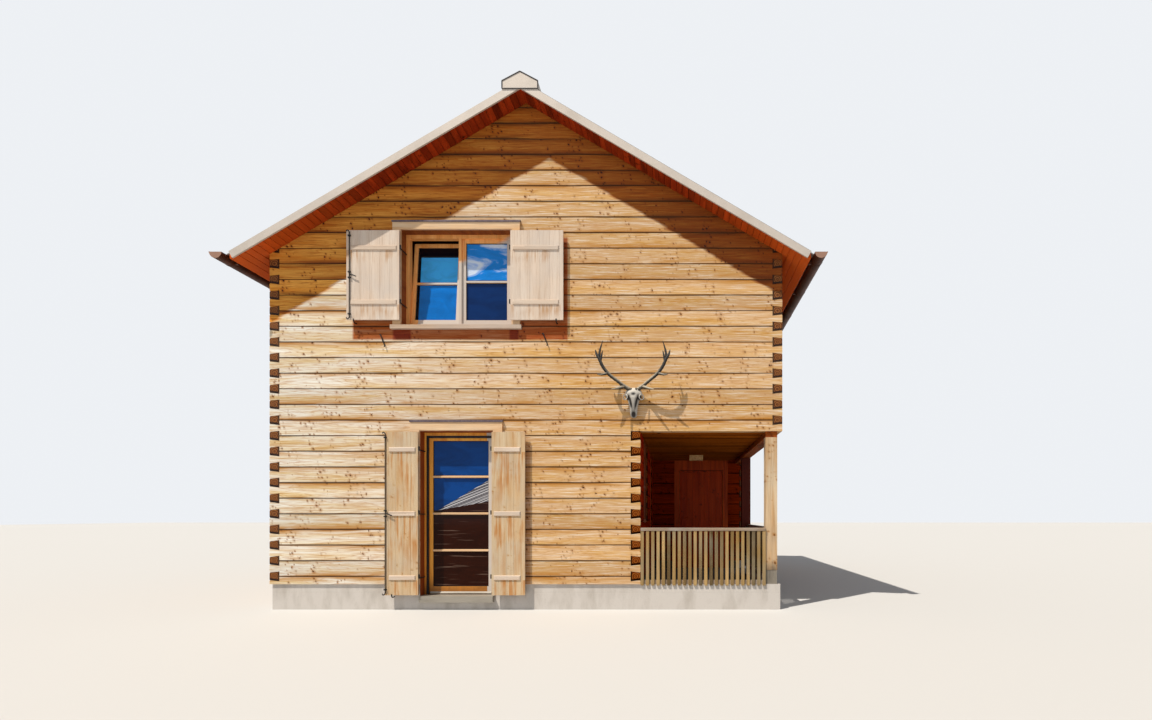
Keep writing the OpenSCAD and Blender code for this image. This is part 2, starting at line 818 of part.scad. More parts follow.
module shutter_pintles() {
    color(iron_colour) for (m = [0, 1]) {
        translate([m == 0 ? door_x0 + shutter_inset : door_x1 - shutter_inset, shutter_y, 0])
            pintles(shutter_z0, shutter_z1, 3, seat_gap / 2);
        translate([m == 0 ? window_x0 + shutter_inset : window_x1 - shutter_inset, shutter_y, 0])
            pintles(upper_shutter_z0, upper_shutter_z1, 2, 0);
    }
}

// Mitred board of width b over a front opening
module casing_head(w, z, b) {
    translate([opening_x, front_y, z]) rotate([90, 0, 0]) linear_extrude(casing_t)
        polygon([[-w / 2, 0], [w / 2, 0], [w / 2 + b, b], [-w / 2 - b, b]]);
}
// Mitred boards of width b beside a front opening, up to its head board
module casing_sides(w, z0, z, b) {
    translate([opening_x, front_y, 0]) for (m = [0, 1]) mirror([m, 0, 0])
        rotate([90, 0, 0]) linear_extrude(casing_t)
            polygon([[-w / 2 - b, z0], [-w / 2, z0], [-w / 2, z - mitre_gap],
                [-w / 2 - b, z + b - mitre_gap]]);
}
module lintels() {
    color(log_colour) {
        casing_head(window_w, window_head_z, casing_w);
        casing_head(door_w, head_z + casing_rise, door_casing_w);
    }
}

module casing_boards() {
    color(log_colour) {
        casing_sides(window_w, window_sill_z - board_gap + joint, window_head_z, casing_w);
        casing_sides(door_w, plinth_h, head_z + casing_rise, door_casing_w);
    }
}

module window_sill() {
    top_z = window_sill_z - board_gap;
    color(log_colour)
        bar([window_x0 - board_reach, front_y - board_out, top_z - board_h],
            [window_x1 + board_reach, front_y, top_z]);
}

module french_frame() {
    w = frame_w;
    color(frame_colour) {
        bar([door_x0, frame_y, floor_z], [door_x0 + w, leaf_in_y, head_z]);
        bar([door_x1 - w, frame_y, floor_z], [door_x1, leaf_in_y, head_z]);
        bar([door_x0 + w + joint, frame_y, head_z - w], [door_x1 - w - joint, leaf_in_y, head_z]);
        translate(french_axis) barrels(french_h, 0);
    }
}

module french_door() {
    color(frame_colour) {
        translate([door_x0 + frame_w + leaf_gap, leaf_in_y, floor_z + leaf_gap])
            rotate([90, 0, 0]) linear_extrude(leaf_t)
                leaf_outline(french_w, french_h, stile_w, kick_h, 3);
        translate(french_axis) barrels(french_h, 1);
    }
}

module french_glass() {
    color(glass_colour)
        translate([door_x0 + frame_w + leaf_gap, leaf_in_y - leaf_t / 2 + pane_t / 2,
            floor_z + leaf_gap])
            rotate([90, 0, 0]) linear_extrude(pane_t)
                leaf_panes(french_w, french_h, stile_w, kick_h, 3);
}

module french_sill() {
    low_z = slab_z - sill_drop;
    color(metal_colour) translate([door_x0, 0, 0]) rotate([90, 0, 90])
        linear_extrude(door_w) polygon([
            [front_y - sill_out, low_z], [front_y + plinth_inset, low_z],
            [front_y + plinth_inset, slab_z], [front_y + wall_t, slab_z],
            [front_y + wall_t, floor_z], [front_y - sill_out, floor_z]]);
}

// Draws its child at the corner post and at the entry post
module each_post() {
    for (y = [post_y, entry_y - post_w]) translate([post_x, y, 0]) children();
}
module porch_posts() {
    color(log_colour) each_post() bar([0, 0, post_z], [post_w, post_w, beam_z]);
}
module post_bases() {
    color(concrete_colour) each_post() bar([base_inset, base_inset, plinth_h],
        [post_w - base_inset, post_w - base_inset, post_z]);
}
module porch_beam() {
    color(shade_colour)
        bar([post_x, post_y, beam_z], [post_x + post_w, porch_y, head_z]);
}

// Railing of slats between 0 and its length, with its outer face at y 0
module railing(l, z0) {
    n = floor((l - slat_w) / slat_pitch) + 1;
    start = (l - (n - 1) * slat_pitch - slat_w) / 2;
    bar([0, -rail_nose, rail_z - rail_h], [l, rail_back, rail_z]);
    bar([0, slat_t, plinth_h], [l, slat_t + foot_w, plinth_h + foot_h]);
    for (i = [0:n - 1])
        bar([start + i * slat_pitch, 0, z0], [start + i * slat_pitch + slat_w, slat_t,
            rail_z - rail_h]);
}
module porch_rails() {
    color("tan") {
        translate([porch_x, front_y, 0]) railing(post_x - porch_x, slat_z);
        translate([post_x + post_w - rail_nose, post_y + post_w, 0]) rotate([0, 0, 90])
            railing(entry_y - 2 * post_w - post_y, plinth_h + slat_clear);
    }
}

module porch_lamp() {
    x = porch_x + (porch_w - lamp_w) * lamp_share;
    y = entry_y;
    color("linen") bar([x, y, head_z - lamp_d], [x + lamp_w, y + lamp_d, head_z]);
}

module entrance_frame() {
    color(frame_colour) {
        bar([entrance_x0, porch_y, floor_z], [entrance_x0 + jamb_w, entrance_in_y, head_z]);
        bar([entrance_x1 - jamb_w, porch_y, floor_z], [entrance_x1, entrance_in_y, head_z]);
        bar([entrance_x0 + jamb_w + joint, porch_y, entrance_z],
            [entrance_x1 - jamb_w - joint, entrance_in_y, head_z]);
        translate(entrance_axis) mirror([1, 0, 0]) barrels(entrance_h, 0);
    }
}

module entrance_door() {
    x0 = entrance_x0 + jamb_w + leaf_gap;
    color(shade_colour) {
        bar([x0, entrance_in_y - leaf_t, floor_z + leaf_gap],
            [entrance_x1 - jamb_w - leaf_gap, entrance_in_y, entrance_z - leaf_gap]);
        translate(entrance_axis) mirror([1, 0, 0]) barrels(entrance_h, 1);
        translate([x0 + handle_x, entrance_in_y - leaf_t, handle_z + floor_z]) handle();
    }
}

// Lever on a long plate, its plate's back at y 0
module handle() {
    bar([-handle_w / 2, -handle_t, -lever_l], [handle_w / 2, 0, lever_l]);
    rotate([90, 0, 0]) cylinder(r = lever_r, h = lever_out);
    translate([0, -lever_out, 0]) rotate([0, 90, 0]) cylinder(r = lever_r, h = lever_l);
}

module store_door() {
    color(shade_colour)
        bar([porch_x - leaf_t - store_set, store_y0, floor_z],
            [porch_x - store_set, store_y1, head_z]);
}

// Fixed window of the other sides, drawn with its middle at the origin
module small_window(w, h, leaves) {
    leaf = (w - frame_w) / leaves - frame_w;
    translate([-w / 2, frame_t, 0]) rotate([90, 0, 0]) linear_extrude(leaf_t) difference() {
        square([w, h]);
        for (i = [0:leaves - 1]) for (j = [0, 1])
            translate([frame_w + i * (leaf + frame_w), frame_w + j * (h - frame_w - bar_w) / 2
                + j * bar_w / 2])
                square([leaf, (h - 2 * frame_w - bar_w) / 2]);
    }
}

// Places what is drawn for a window at each window of the other sides
module each_side_window() {
    for (u = [-screen_y, screen_y]) {
        on_side(-90, half_w) translate([u, 0, side_sill_z]) window_pick(side_window, side_window, 2)
            children();
        on_side(-90, half_w) translate([u, 0, screen_window_z])
            window_pick(side_window, screen_window_h, 2) children();
        on_side(90, half_w) translate([u, 0, screen_window_z])
            window_pick(side_window, screen_window_h, 2) children();
    }
    on_side(90, half_w) translate([screen_y, 0, side_sill_z])
        window_pick(side_window, side_window, 2) children();
    on_side(180, half_l) for (s = [-1, 1]) {
        translate([s * back_lower_x, 0, side_sill_z])
            window_pick(side_window, side_window, 2) children();
        translate([s * back_upper_x, 0, window_sill_z])
            window_pick(side_window, side_window, 2) children();
    }
    on_side(90, porch_x) translate([(pw_y0 + pw_y1) / 2, 0, porch_window_z])
        window_pick(porch_window_w, head_z - porch_head_h - porch_window_z, 2) children();
}
module window_pick(w, h, leaves) {
    if ($glass) translate([-w / 2 + frame_w / 2, frame_t, frame_w / 2])
        cube([w - frame_w, pane_t, h - frame_w]);
    else small_window(w, h, leaves);
}

module side_windows() {
    $glass = false;
    color(frame_colour) {
        each_side_window();
        on_side(90, porch_x)
            bar([pw_y0, frame_t - leaf_t, head_z - porch_head_h + joint],
                [pw_y1, frame_t, head_z]);
    }
}

module side_glass() {
    $glass = true;
    color(glass_colour) each_side_window();
}

// Framed screen of upright slats that stands in front of a wall
module screen() {
    l = screen_l / 2;
    z0 = screen_window_z - screen_post;
    z1 = z0 + screen_h;
    inner = screen_l - 2 * screen_post;
    n = floor(inner / screen_slat_pitch);
    bar([-l - screen_sill_reach, -screen_sill_out, z0 - screen_sill_h],
        [l + screen_sill_reach, 0, z0]);
    for (s = [-1, 1]) translate([s * (l - screen_post / 2), 0, 0])
        bar([-screen_post / 2, -screen_depth, z0], [screen_post / 2, 0, z1]);
    bar([-l + screen_post, -screen_depth, z1 - screen_rail_h],
        [l - screen_post, -screen_depth + 2 * screen_slat_t, z1]);
    for (i = [1:n]) translate([-inner / 2 + (i - 0.5) * inner / n, 0, 0])
        bar([-screen_slat_w / 2, screen_slat_t / 2 - screen_depth, z0],
            [screen_slat_w / 2, screen_slat_t * 1.5 - screen_depth, z1 - screen_rail_h]);
}
module slat_screens() {
    color("tan") for (a = [-90, 90]) for (s = [-1, 1])
        on_side(a, half_w) translate([s * screen_y, 0, 0]) screen();
}

// Tapered branch of an antler through points given as [x, y, z, radius]
// in hundredths of the skull's length
module branch(points) {
    for (i = [0:len(points) - 2])
        hull() for (p = [points[i], points[i + 1]])
            translate([p[0], p[1], p[2]] * skull_l / 100) sphere(r = p[3] * skull_l / 100, $fn = 8);
}
// One antler: the beam with its crown, then the tines below the crown
module antler() {
    branch([[11, -17, 93, 6], [29, -25, 100, 5.5], [57, -40, 123, 5], [82, -48, 140, 4.7],
        [101, -45, 164, 4.5], [112, -40, 190, 4.2], [121, -36, 202, 3.5], [130, -31, 217, 1.6]]);
    branch([[112, -40, 190, 4], [107, -36, 214, 3], [102, -29, 248, 1.4]]);
    branch([[110, -40, 186, 3.3], [103, -38, 205, 2.6], [101, -36, 214, 1.4]]);
    branch([[31, -26, 101, 4.3], [49, -45, 94, 3.3], [65, -61, 88, 1.6]]);
    branch([[80, -48, 139, 4], [98, -57, 137, 3], [113, -64, 139, 1.6]]);
}

module deer_skull() {
    unit = skull_l / 100;
    reach = skull_l * 3;
    color("ivory") translate([skull_x, front_y, skull_z]) difference() {
        union() {
            hull() {
                translate([0, -14, 82] * unit) sphere(r = 19 * unit, $fn = 12);
                translate([0, -15, 45] * unit) sphere(r = 12 * unit, $fn = 12);
            }
            hull() {
                translate([0, -15, 45] * unit) sphere(r = 12 * unit, $fn = 12);
                translate([0, -12, 8] * unit) sphere(r = 8 * unit, $fn = 12);
            }
            for (m = [0, 1]) mirror([m, 0, 0]) antler();
        }
        bar([-reach, 0, -reach], [reach, reach, reach]);
    }
}

foundation();
plinth_walls();
ground_floor();
porch_floor();
upper_floor();
front_wall_left();
front_wall_middle();
front_wall_band();
front_wall_upper_left();
front_wall_upper_right();
front_gable();
left_wall();
back_wall();
right_wall_lower();
right_wall_upper();
porch_wall_sill();
porch_wall_front();
porch_wall_middle();
porch_wall_back();
porch_back_left();
porch_back_right();
roof_deck_left();
roof_deck_right();
roof_sheets();
ridge_cap();
verges();
gutters();
upper_window_frame();
upper_window_sashes();
upper_window_glass();
upper_shutters();
lintels();
casing_boards();
window_sill();
french_frame();
french_door();
french_glass();
french_sill();
shutter_left();
shutter_right();
shutter_pintles();
porch_posts();
post_bases();
porch_beam();
porch_rails();
porch_lamp();
entrance_frame();
entrance_door();
store_door();
side_windows();
side_glass();
slat_screens();
deer_skull();
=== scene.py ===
"""Looks of an alpine chalet of squared logs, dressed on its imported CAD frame."""

import logging
import math
from dataclasses import dataclass
from enum import Enum
from typing import Sequence

import bmesh
import bpy
import numpy as np
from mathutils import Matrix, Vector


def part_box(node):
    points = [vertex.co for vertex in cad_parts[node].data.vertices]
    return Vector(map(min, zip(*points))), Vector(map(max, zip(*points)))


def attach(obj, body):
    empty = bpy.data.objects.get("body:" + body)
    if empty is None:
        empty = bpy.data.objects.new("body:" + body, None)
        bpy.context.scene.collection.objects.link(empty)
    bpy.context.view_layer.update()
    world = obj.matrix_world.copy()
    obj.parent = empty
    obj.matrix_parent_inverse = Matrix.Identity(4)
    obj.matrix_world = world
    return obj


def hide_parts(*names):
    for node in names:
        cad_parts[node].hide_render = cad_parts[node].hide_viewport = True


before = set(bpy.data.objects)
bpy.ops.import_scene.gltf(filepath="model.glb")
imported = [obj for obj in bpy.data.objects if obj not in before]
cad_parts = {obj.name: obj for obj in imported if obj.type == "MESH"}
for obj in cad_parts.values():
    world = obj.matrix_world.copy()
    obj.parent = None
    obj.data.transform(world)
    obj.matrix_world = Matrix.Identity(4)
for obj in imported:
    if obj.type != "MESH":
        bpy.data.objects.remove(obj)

logging.basicConfig(level=logging.INFO, format="%(message)s")
log = logging.getLogger("chalet")

Node = bpy.types.Node
Socket = bpy.types.NodeSocket
Tree = bpy.types.NodeTree

HOUSE = "house"
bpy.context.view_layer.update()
# Share of knots in wood that has none, a height above the roof and a place off the house
CLEAR = -9.0
ABOVE = 9.0
BEYOND = 90.0
# Direction that no tube runs in, from which its rings are turned
ASKEW = (0.31, -0.93, 0.19)


class Axis(Enum):
    """Direction of fibres, boards or faces."""

    X = 0
    Y = 1
    Z = 2


# Colours and nodes

def linear(hex_colour: str) -> tuple[float, float, float, float]:
    """Turns an sRGB colour into linear light.

    Args:
        hex_colour: Six hex digits.

    Returns:
        Red, green and blue in linear light, and an alpha of one.
    """
    parts = np.array([int(hex_colour[i:i + 2], 16) for i in (0, 2, 4)]) / 255
    light = np.where(parts <= 0.04045, parts / 12.92, ((parts + 0.055) / 1.055) ** 2.4)
    return (*light.tolist(), 1.0)


def feed(node: Node, inputs: dict | Sequence) -> None:
    """Gives values and links to a node's inputs.

    Args:
        node: Node that takes them.
        inputs: Numbers, sRGB colours, sockets or nodes, in order or by the inputs' names
            or places.
    """
    for key, value in inputs.items() if isinstance(inputs, dict) else enumerate(inputs):
        if isinstance(value, str):
            value = linear(value)
        if isinstance(value, Node):
            value = next(out for out in value.outputs if out.enabled)
        if isinstance(value, Socket):
            node.id_data.links.new(value, node.inputs[key])
        else:
            node.inputs[key].default_value = value


def add(
    tree: Tree,
    kind: str,
    inputs: dict | Sequence = (),
    stops: Sequence[tuple[float, str]] = (),
    **settings: object,
) -> Node:
    """Adds one shader node with its settings, values and links.

    Args:
        tree: Tree that takes the node.
        kind: Type of the node without its common prefix, and after a space its operation,
            or the data type of a mix.
        inputs: Numbers, sRGB colours, sockets or nodes, in order or by the inputs' names
            or places.
        stops: Places and sRGB colours of a colour ramp.
        settings: Attributes of the node.

    Returns:
        The new node.
    """
    kind, _, choice = kind.partition(" ")
    made = tree.nodes.new("ShaderNode" + kind)
    if choice:
        setattr(made, "data_type" if kind == "Mix" else "operation", choice)
    for key, value in settings.items():
        setattr(made, key, value)
    feed(made, inputs)
    for i, (position, colour) in enumerate(stops):
        elements = made.color_ramp.elements
        element = elements[i] if i < 2 else elements.new(position)
        element.position = position
        element.color = linear(colour)
    return made


def layered(tree: Tree, colour: object, *layers: tuple) -> Node:
    """Lays colours over a colour, one after the other, each by its share.

    Args:
        tree: Tree that takes the nodes.
        colour: The first colour: an sRGB colour, a socket or a node.
        layers: Share and colour of each layer, and its way to blend if that isn't plain.

    Returns:
        The colour with all its layers.
    """
    for share, tint, *blend in layers:
        colour = add(tree, "Mix RGBA", {0: share, 6: colour, 7: tint},
                     blend_type=blend[0] if blend else "MIX")
    return colour


def away(tree: Tree, place: Socket, middle: float) -> Node:
    """Adds the distance of a place from a middle."""
    off = add(tree, "Math ADD", [place, -middle])
    return add(tree, "Math ABSOLUTE", [off])


# Surfaces

@dataclass(frozen=True)
class Shape:
    """Points and faces of a surface.

    Attributes:
        points: Places of the points, one row each.
        faces: Arrays of point numbers, each with faces of one kind.
        tone: A number for each point, from which finishes vary their colour.
    """

    points: np.ndarray
    faces: tuple[np.ndarray, ...]
    tone: np.ndarray

    def moved(self, turn: np.ndarray, place: Sequence[float]) -> "Shape":
        """Returns the shape turned by a matrix whose rows are its new axes, then shifted."""
        return Shape(self.points @ turn + np.asarray(place, float), self.faces, self.tone)


def joined(shapes: Sequence[Shape]) -> Shape:
    """Puts shapes together into one, each keeping its own points.

    Args:
        shapes: Shapes to join.

    Returns:
        The joined shape.
    """
    starts = np.cumsum([0] + [len(shape.points) for shape in shapes[:-1]])
    faces = tuple(f + start for shape, start in zip(shapes, starts) for f in shape.faces)
    points = np.vstack([shape.points for shape in shapes])
    return Shape(points, faces, np.concatenate([shape.tone for shape in shapes]))


def spots(*rows: Sequence[float]) -> np.ndarray:
    """Returns rows of numbers as an array."""
    return np.array(rows, float)


def columns(*parts: np.ndarray | float) -> np.ndarray:
    """Returns arrays and single numbers side by side, each number as a whole column."""
    return np.column_stack(np.broadcast_arrays(*parts))


def boxes(low: np.ndarray, high: np.ndarray, first_tone: float = 0.0) -> Shape:
    """Boxes between lowest and highest corners: corner = low + bit x (high - low) per axis.

    Args:
        low: Lowest corners, one row each.
        high: Highest corners, one row each.
        first_tone: Tone of the first box; each further box has one more.

    Returns:
        All boxes as one shape.
    """
    low, high = np.broadcast_arrays(np.atleast_2d(low), np.atleast_2d(high))
    bits = np.array(np.meshgrid([0, 1], [0, 1], [0, 1], indexing="ij")).reshape(3, -1).T
    points = low[:, None, :] + bits[None, :, :] * (high - low)[:, None, :]
    sides = np.array([[0, 1, 3, 2], [4, 6, 7, 5], [0, 4, 5, 1], [2, 3, 7, 6],
                      [0, 2, 6, 4], [1, 5, 7, 3]])
    count = len(points)
    faces = (sides[None] + 8 * np.arange(count)[:, None, None]).reshape(-1, 4)
    return Shape(points.reshape(-1, 3), (faces,), np.repeat(np.arange(count) + first_tone, 8))


def grid(points: np.ndarray, around: bool = False, tone: float = 0.0) -> Shape:
    """A surface through a grid of points: each face joins four neighbours.

    Args:
        points: Places with rows and columns as the first two dimensions.
        around: Whether the columns close on themselves, with the ends capped.
        tone: Tone of all points.

    Returns:
        The surface.
    """
    rows, across = points.shape[:2]
    number = np.arange(rows * across).reshape(rows, across)
    if around:
        number = np.hstack([number, number[:, :1]])
    quads = np.stack([number[:-1, :-1], number[:-1, 1:], number[1:, 1:], number[1:, :-1]], axis=-1)
    faces = [quads.reshape(-1, 4)]
    if around:
        faces += [number[0, :-1][::-1][None], number[-1, :-1][None]]
    return Shape(points.reshape(-1, 3), tuple(faces), np.full(rows * across, float(tone)))


def prism(outline: np.ndarray, axis: Axis, low: float, high: float, tone: float = 0.0) -> Shape:
    """An outline carried straight along an axis.

    Args:
        outline: Points in the two other axes, in their order.
        axis: Axis of the length.
        low: Start along the axis.
        high: End along the axis.
        tone: Tone of all points.

    Returns:
        The closed prism.
    """
    rings = np.stack([np.insert(outline, axis.value, end, axis=1) for end in (low, high)])
    return grid(rings, around=True, tone=tone)


def tube(path: np.ndarray, radius: np.ndarray | float, sides: int = 10, tone: float = 0.0) -> Shape:
    """A circle carried along a path: centre + r (cos a x side + sin a x up) per point.

    Args:
        path: Points of the centre line.
        radius: Radius at each point, or one for all.
        sides: Corners of the circle.
        tone: Tone of all points.

    Returns:
        The closed tube.
    """
    path = np.asarray(path, float)
    tangent = np.gradient(path, axis=0)
    tangent /= np.linalg.norm(tangent, axis=1, keepdims=True)
    side = np.cross(tangent, ASKEW)
    side /= np.linalg.norm(side, axis=1, keepdims=True)
    up = np.cross(side, tangent)
    angle = np.linspace(0, 2 * np.pi, sides, endpoint=False)[None, :, None]
    ring = np.cos(angle) * side[:, None] + np.sin(angle) * up[:, None]
    size = np.broadcast_to(np.asarray(radius, float), (len(path),))[:, None, None]
    return grid(path[:, None] + size * ring, around=True, tone=tone)


def eased(points: Sequence[Sequence[float]], steps: int = 8) -> np.ndarray:
    """A smooth line through points, each stretch a cubic set by its four nearest points.

    Args:
        points: Rows of numbers, such as a place and a radius.
        steps: Steps of each stretch.

    Returns:
        The rows of the smooth line.
    """
    rows = np.asarray(points, float)
    at = np.linspace(0, len(rows) - 1, (len(rows) - 1) * steps + 1)
    i = np.minimum(at.astype(int), len(rows) - 2)
    t = (at - i)[:, None]
    last = len(rows) - 1
    a, b, c, d = (rows[np.clip(i + k, 0, last)] for k in (-1, 0, 1, 2))
    return b + 0.5 * t * (c - a + t * (2 * a - 5 * b + 4 * c - d + t * (3 * (b - c) + d - a)))


# Finishes

@dataclass(frozen=True)
class Finish:
    """A finish whose material is made once and shared."""

    name: str

    def material(self) -> bpy.types.Material:
        """Makes the finish's material at its first use.

        Returns:
            The material.
        """
        made = bpy.data.materials.get(self.name)
        if made is None:
            made = bpy.data.materials.new(self.name)
            made.use_nodes = True
            self.paint(made.node_tree, made.node_tree.nodes["Principled BSDF"])
        return made

    def paint(self, tree: Tree, shader: Node) -> None:
        """Sets up the shader and its pattern; each finish does this its own way."""
        raise NotImplementedError

    def dress(self, *nodes: str) -> None:
        """Gives the finish to CAD nodes."""
        for name in nodes:
            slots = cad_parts[name].data.materials
            slots.clear()
            slots.append(self.material())


@dataclass(frozen=True)
class Wood(Finish):
    """Softwood: long fibres, flame-like growth rings and slanted knots in whorls.

    Attributes:
        pale, warm: Colours of early wood and of the broad bands of late wood.
        dark, halo: Colours of knots and fine dark fibres, and of the wood round knots.
        grain, face: Axis along the fibres, and across the face that shows.
        fibre_mm: Width of a fibre, drawn about ten times too wide so that it shows.
        fibre_per_m: Changes of a fibre's tone per metre of its length.
        bands_per_m: Broad bands per metre across and along the grain.
        rings_per_m: Growth rings per metre across the grain, and per full change of a band.
        knot_cell_mm, knot_mm: Usual distance between knots, and size of the larger ones.
        knot_share: How many places hold a knot.
        knot_slant, knot_tall: How far a knot leans along the grain, and its flatness.
        whorls_per_m, crowding: Crowds of knots per metre, and how much knots keep to them.
        knot_start: Number from which a place holds a knot when knot_share is nought.
        board_step: Distance in the pattern between one board and another.
        rough, gloss: Roughness of the surface and level of its gloss.
    """

    pale: str = "ECD9B8"
    warm: str = "D9AE72"
    dark: str = "6E4320"
    halo: str = "B07A3C"
    grain: Axis = Axis.X
    face: Axis = Axis.Y
    fibre_mm: float = 11.0
    fibre_per_m: float = 2.6
    bands_per_m: tuple[float, float] = (9.0, 0.7)
    rings_per_m: tuple[float, float] = (16.0, 11.0)
    knot_cell_mm: float = 64.0
    knot_mm: float = 12.0
    knot_share: float = 0.5
    knot_slant: float = 0.32
    knot_tall: float = 0.9
    whorls_per_m: float = 3.1
    crowding: float = 7.0
    knot_start: float = 4.95
    board_step: float = 37.0
    rough: float = 0.7
    gloss: float = 0.25

    def fibres(self, tree: Tree, number: object) -> dict[str, Node]:
        """Adds the wood's pattern, shifted by the number of the board or log.

        Args:
            tree: Tree that takes the nodes.
            number: Node or socket that gives the board's number.

        Returns:
            Nodes for the broad bands, the fine fibres, the rings, the knots and their halos.
        """
        place = add(tree, "TexCoord").outputs["Object"]
        chance = add(tree, "TexWhiteNoise", {"W": number}, noise_dimensions="1D")
        jump = add(tree, "VectorMath SCALE", {0: chance.outputs["Color"],
                                              "Scale": self.board_step})
        place = add(tree, "VectorMath ADD", [place, jump])
        narrow = [1000 / self.fibre_mm] * 3
        narrow[self.grain.value] = self.fibre_per_m
        wide = [self.bands_per_m[0]] * 3
        wide[self.grain.value] = self.bands_per_m[1]
        thin = add(tree, "VectorMath MULTIPLY", [place, narrow])
        fine = add(tree, "TexNoise", {"Vector": thin, "Scale": 1.0, "Detail": 4.0,
                                      "Roughness": 0.7})
        soft = add(tree, "VectorMath MULTIPLY", [place, wide])
        broad = add(tree, "TexNoise", {"Vector": soft, "Scale": 1.0, "Detail": 3.0,
                                       "Roughness": 0.55, "Distortion": 0.6})
        axes = add(tree, "SeparateXYZ", [place])
        along = axes.outputs[self.grain.value]
        across = axes.outputs[3 - self.grain.value - self.face.value]
        turns = add(tree, "Math MULTIPLY", [across, self.rings_per_m[0]])
        turns = add(tree, "Math MULTIPLY_ADD", [broad, self.rings_per_m[1], turns])
        rings = add(tree, "Math PINGPONG", [turns, 0.5])
        bend = add(tree, "TexNoise", {"Vector": place, "Scale": 14.0, "Detail": 2.0})
        bent = add(tree, "Math MULTIPLY_ADD", [bend, 0.05, along])
        slant = add(tree, "Math MULTIPLY_ADD", [across, self.knot_slant, bent])
        tall = add(tree, "Math MULTIPLY", [across, self.knot_tall])
        flat = add(tree, "CombineXYZ", [slant, tall])
        cells = add(tree, "TexVoronoi", {"Vector": flat, "Scale": 1000 / self.knot_cell_mm},
                    voronoi_dimensions="2D")
        reach = self.knot_mm / self.knot_cell_mm
        drawn = add(tree, "SeparateColor", [cells.outputs["Color"]])
        size = add(tree, "MapRange", {0: drawn.outputs[1], 3: 0.3, 4: 1.25})
        far = add(tree, "Math DIVIDE", [cells.outputs["Distance"], size])
        whorl = add(tree, "TexNoise", {"W": along, "Scale": self.whorls_per_m, "Detail": 1.0},
                    noise_dimensions="1D")
        odds = add(tree, "Math MULTIPLY_ADD", [whorl, self.crowding, drawn.outputs[0]])
        start = self.knot_start - self.knot_share
        some = add(tree, "MapRange", [odds, start, start + 0.1])
        depth = add(tree, "MapRange", {0: drawn.outputs[2], 3: 0.25, 4: 1.0})
        some = add(tree, "Math MULTIPLY", [some, depth])
        spot = add(tree, "MapRange", [far, 0.5 * reach, reach, 1.0, 0.0])
        glow = add(tree, "MapRange", [far, 0.8 * reach, 3.0 * reach, 0.8, 0.0])
        return {"broad": broad, "fine": fine, "rings": rings,
                "knots": add(tree, "Math MULTIPLY", [spot, some]),
                "halos": add(tree, "Math MULTIPLY", [glow, some])}

    def finished(self, tree: Tree, shader: Node, colour: Node, height: Node,
                 depth_mm: float, strength: float) -> None:
        """Gives the shader its colour, gloss and relief.

        Args:
            tree: Tree that takes the nodes.
            shader: Shader of the wood.
            colour: Its colour.
            height: Pattern of the relief.
            depth_mm: Depth of the relief.
            strength: How strongly the relief shows.
        """
        relief = add(tree, "Bump", {"Height": height, "Distance": depth_mm / 1000,
                                    "Strength": strength})
        feed(shader, {"Base Color": colour, "Roughness": self.rough,
                      "Specular IOR Level": self.gloss, "Normal": relief})


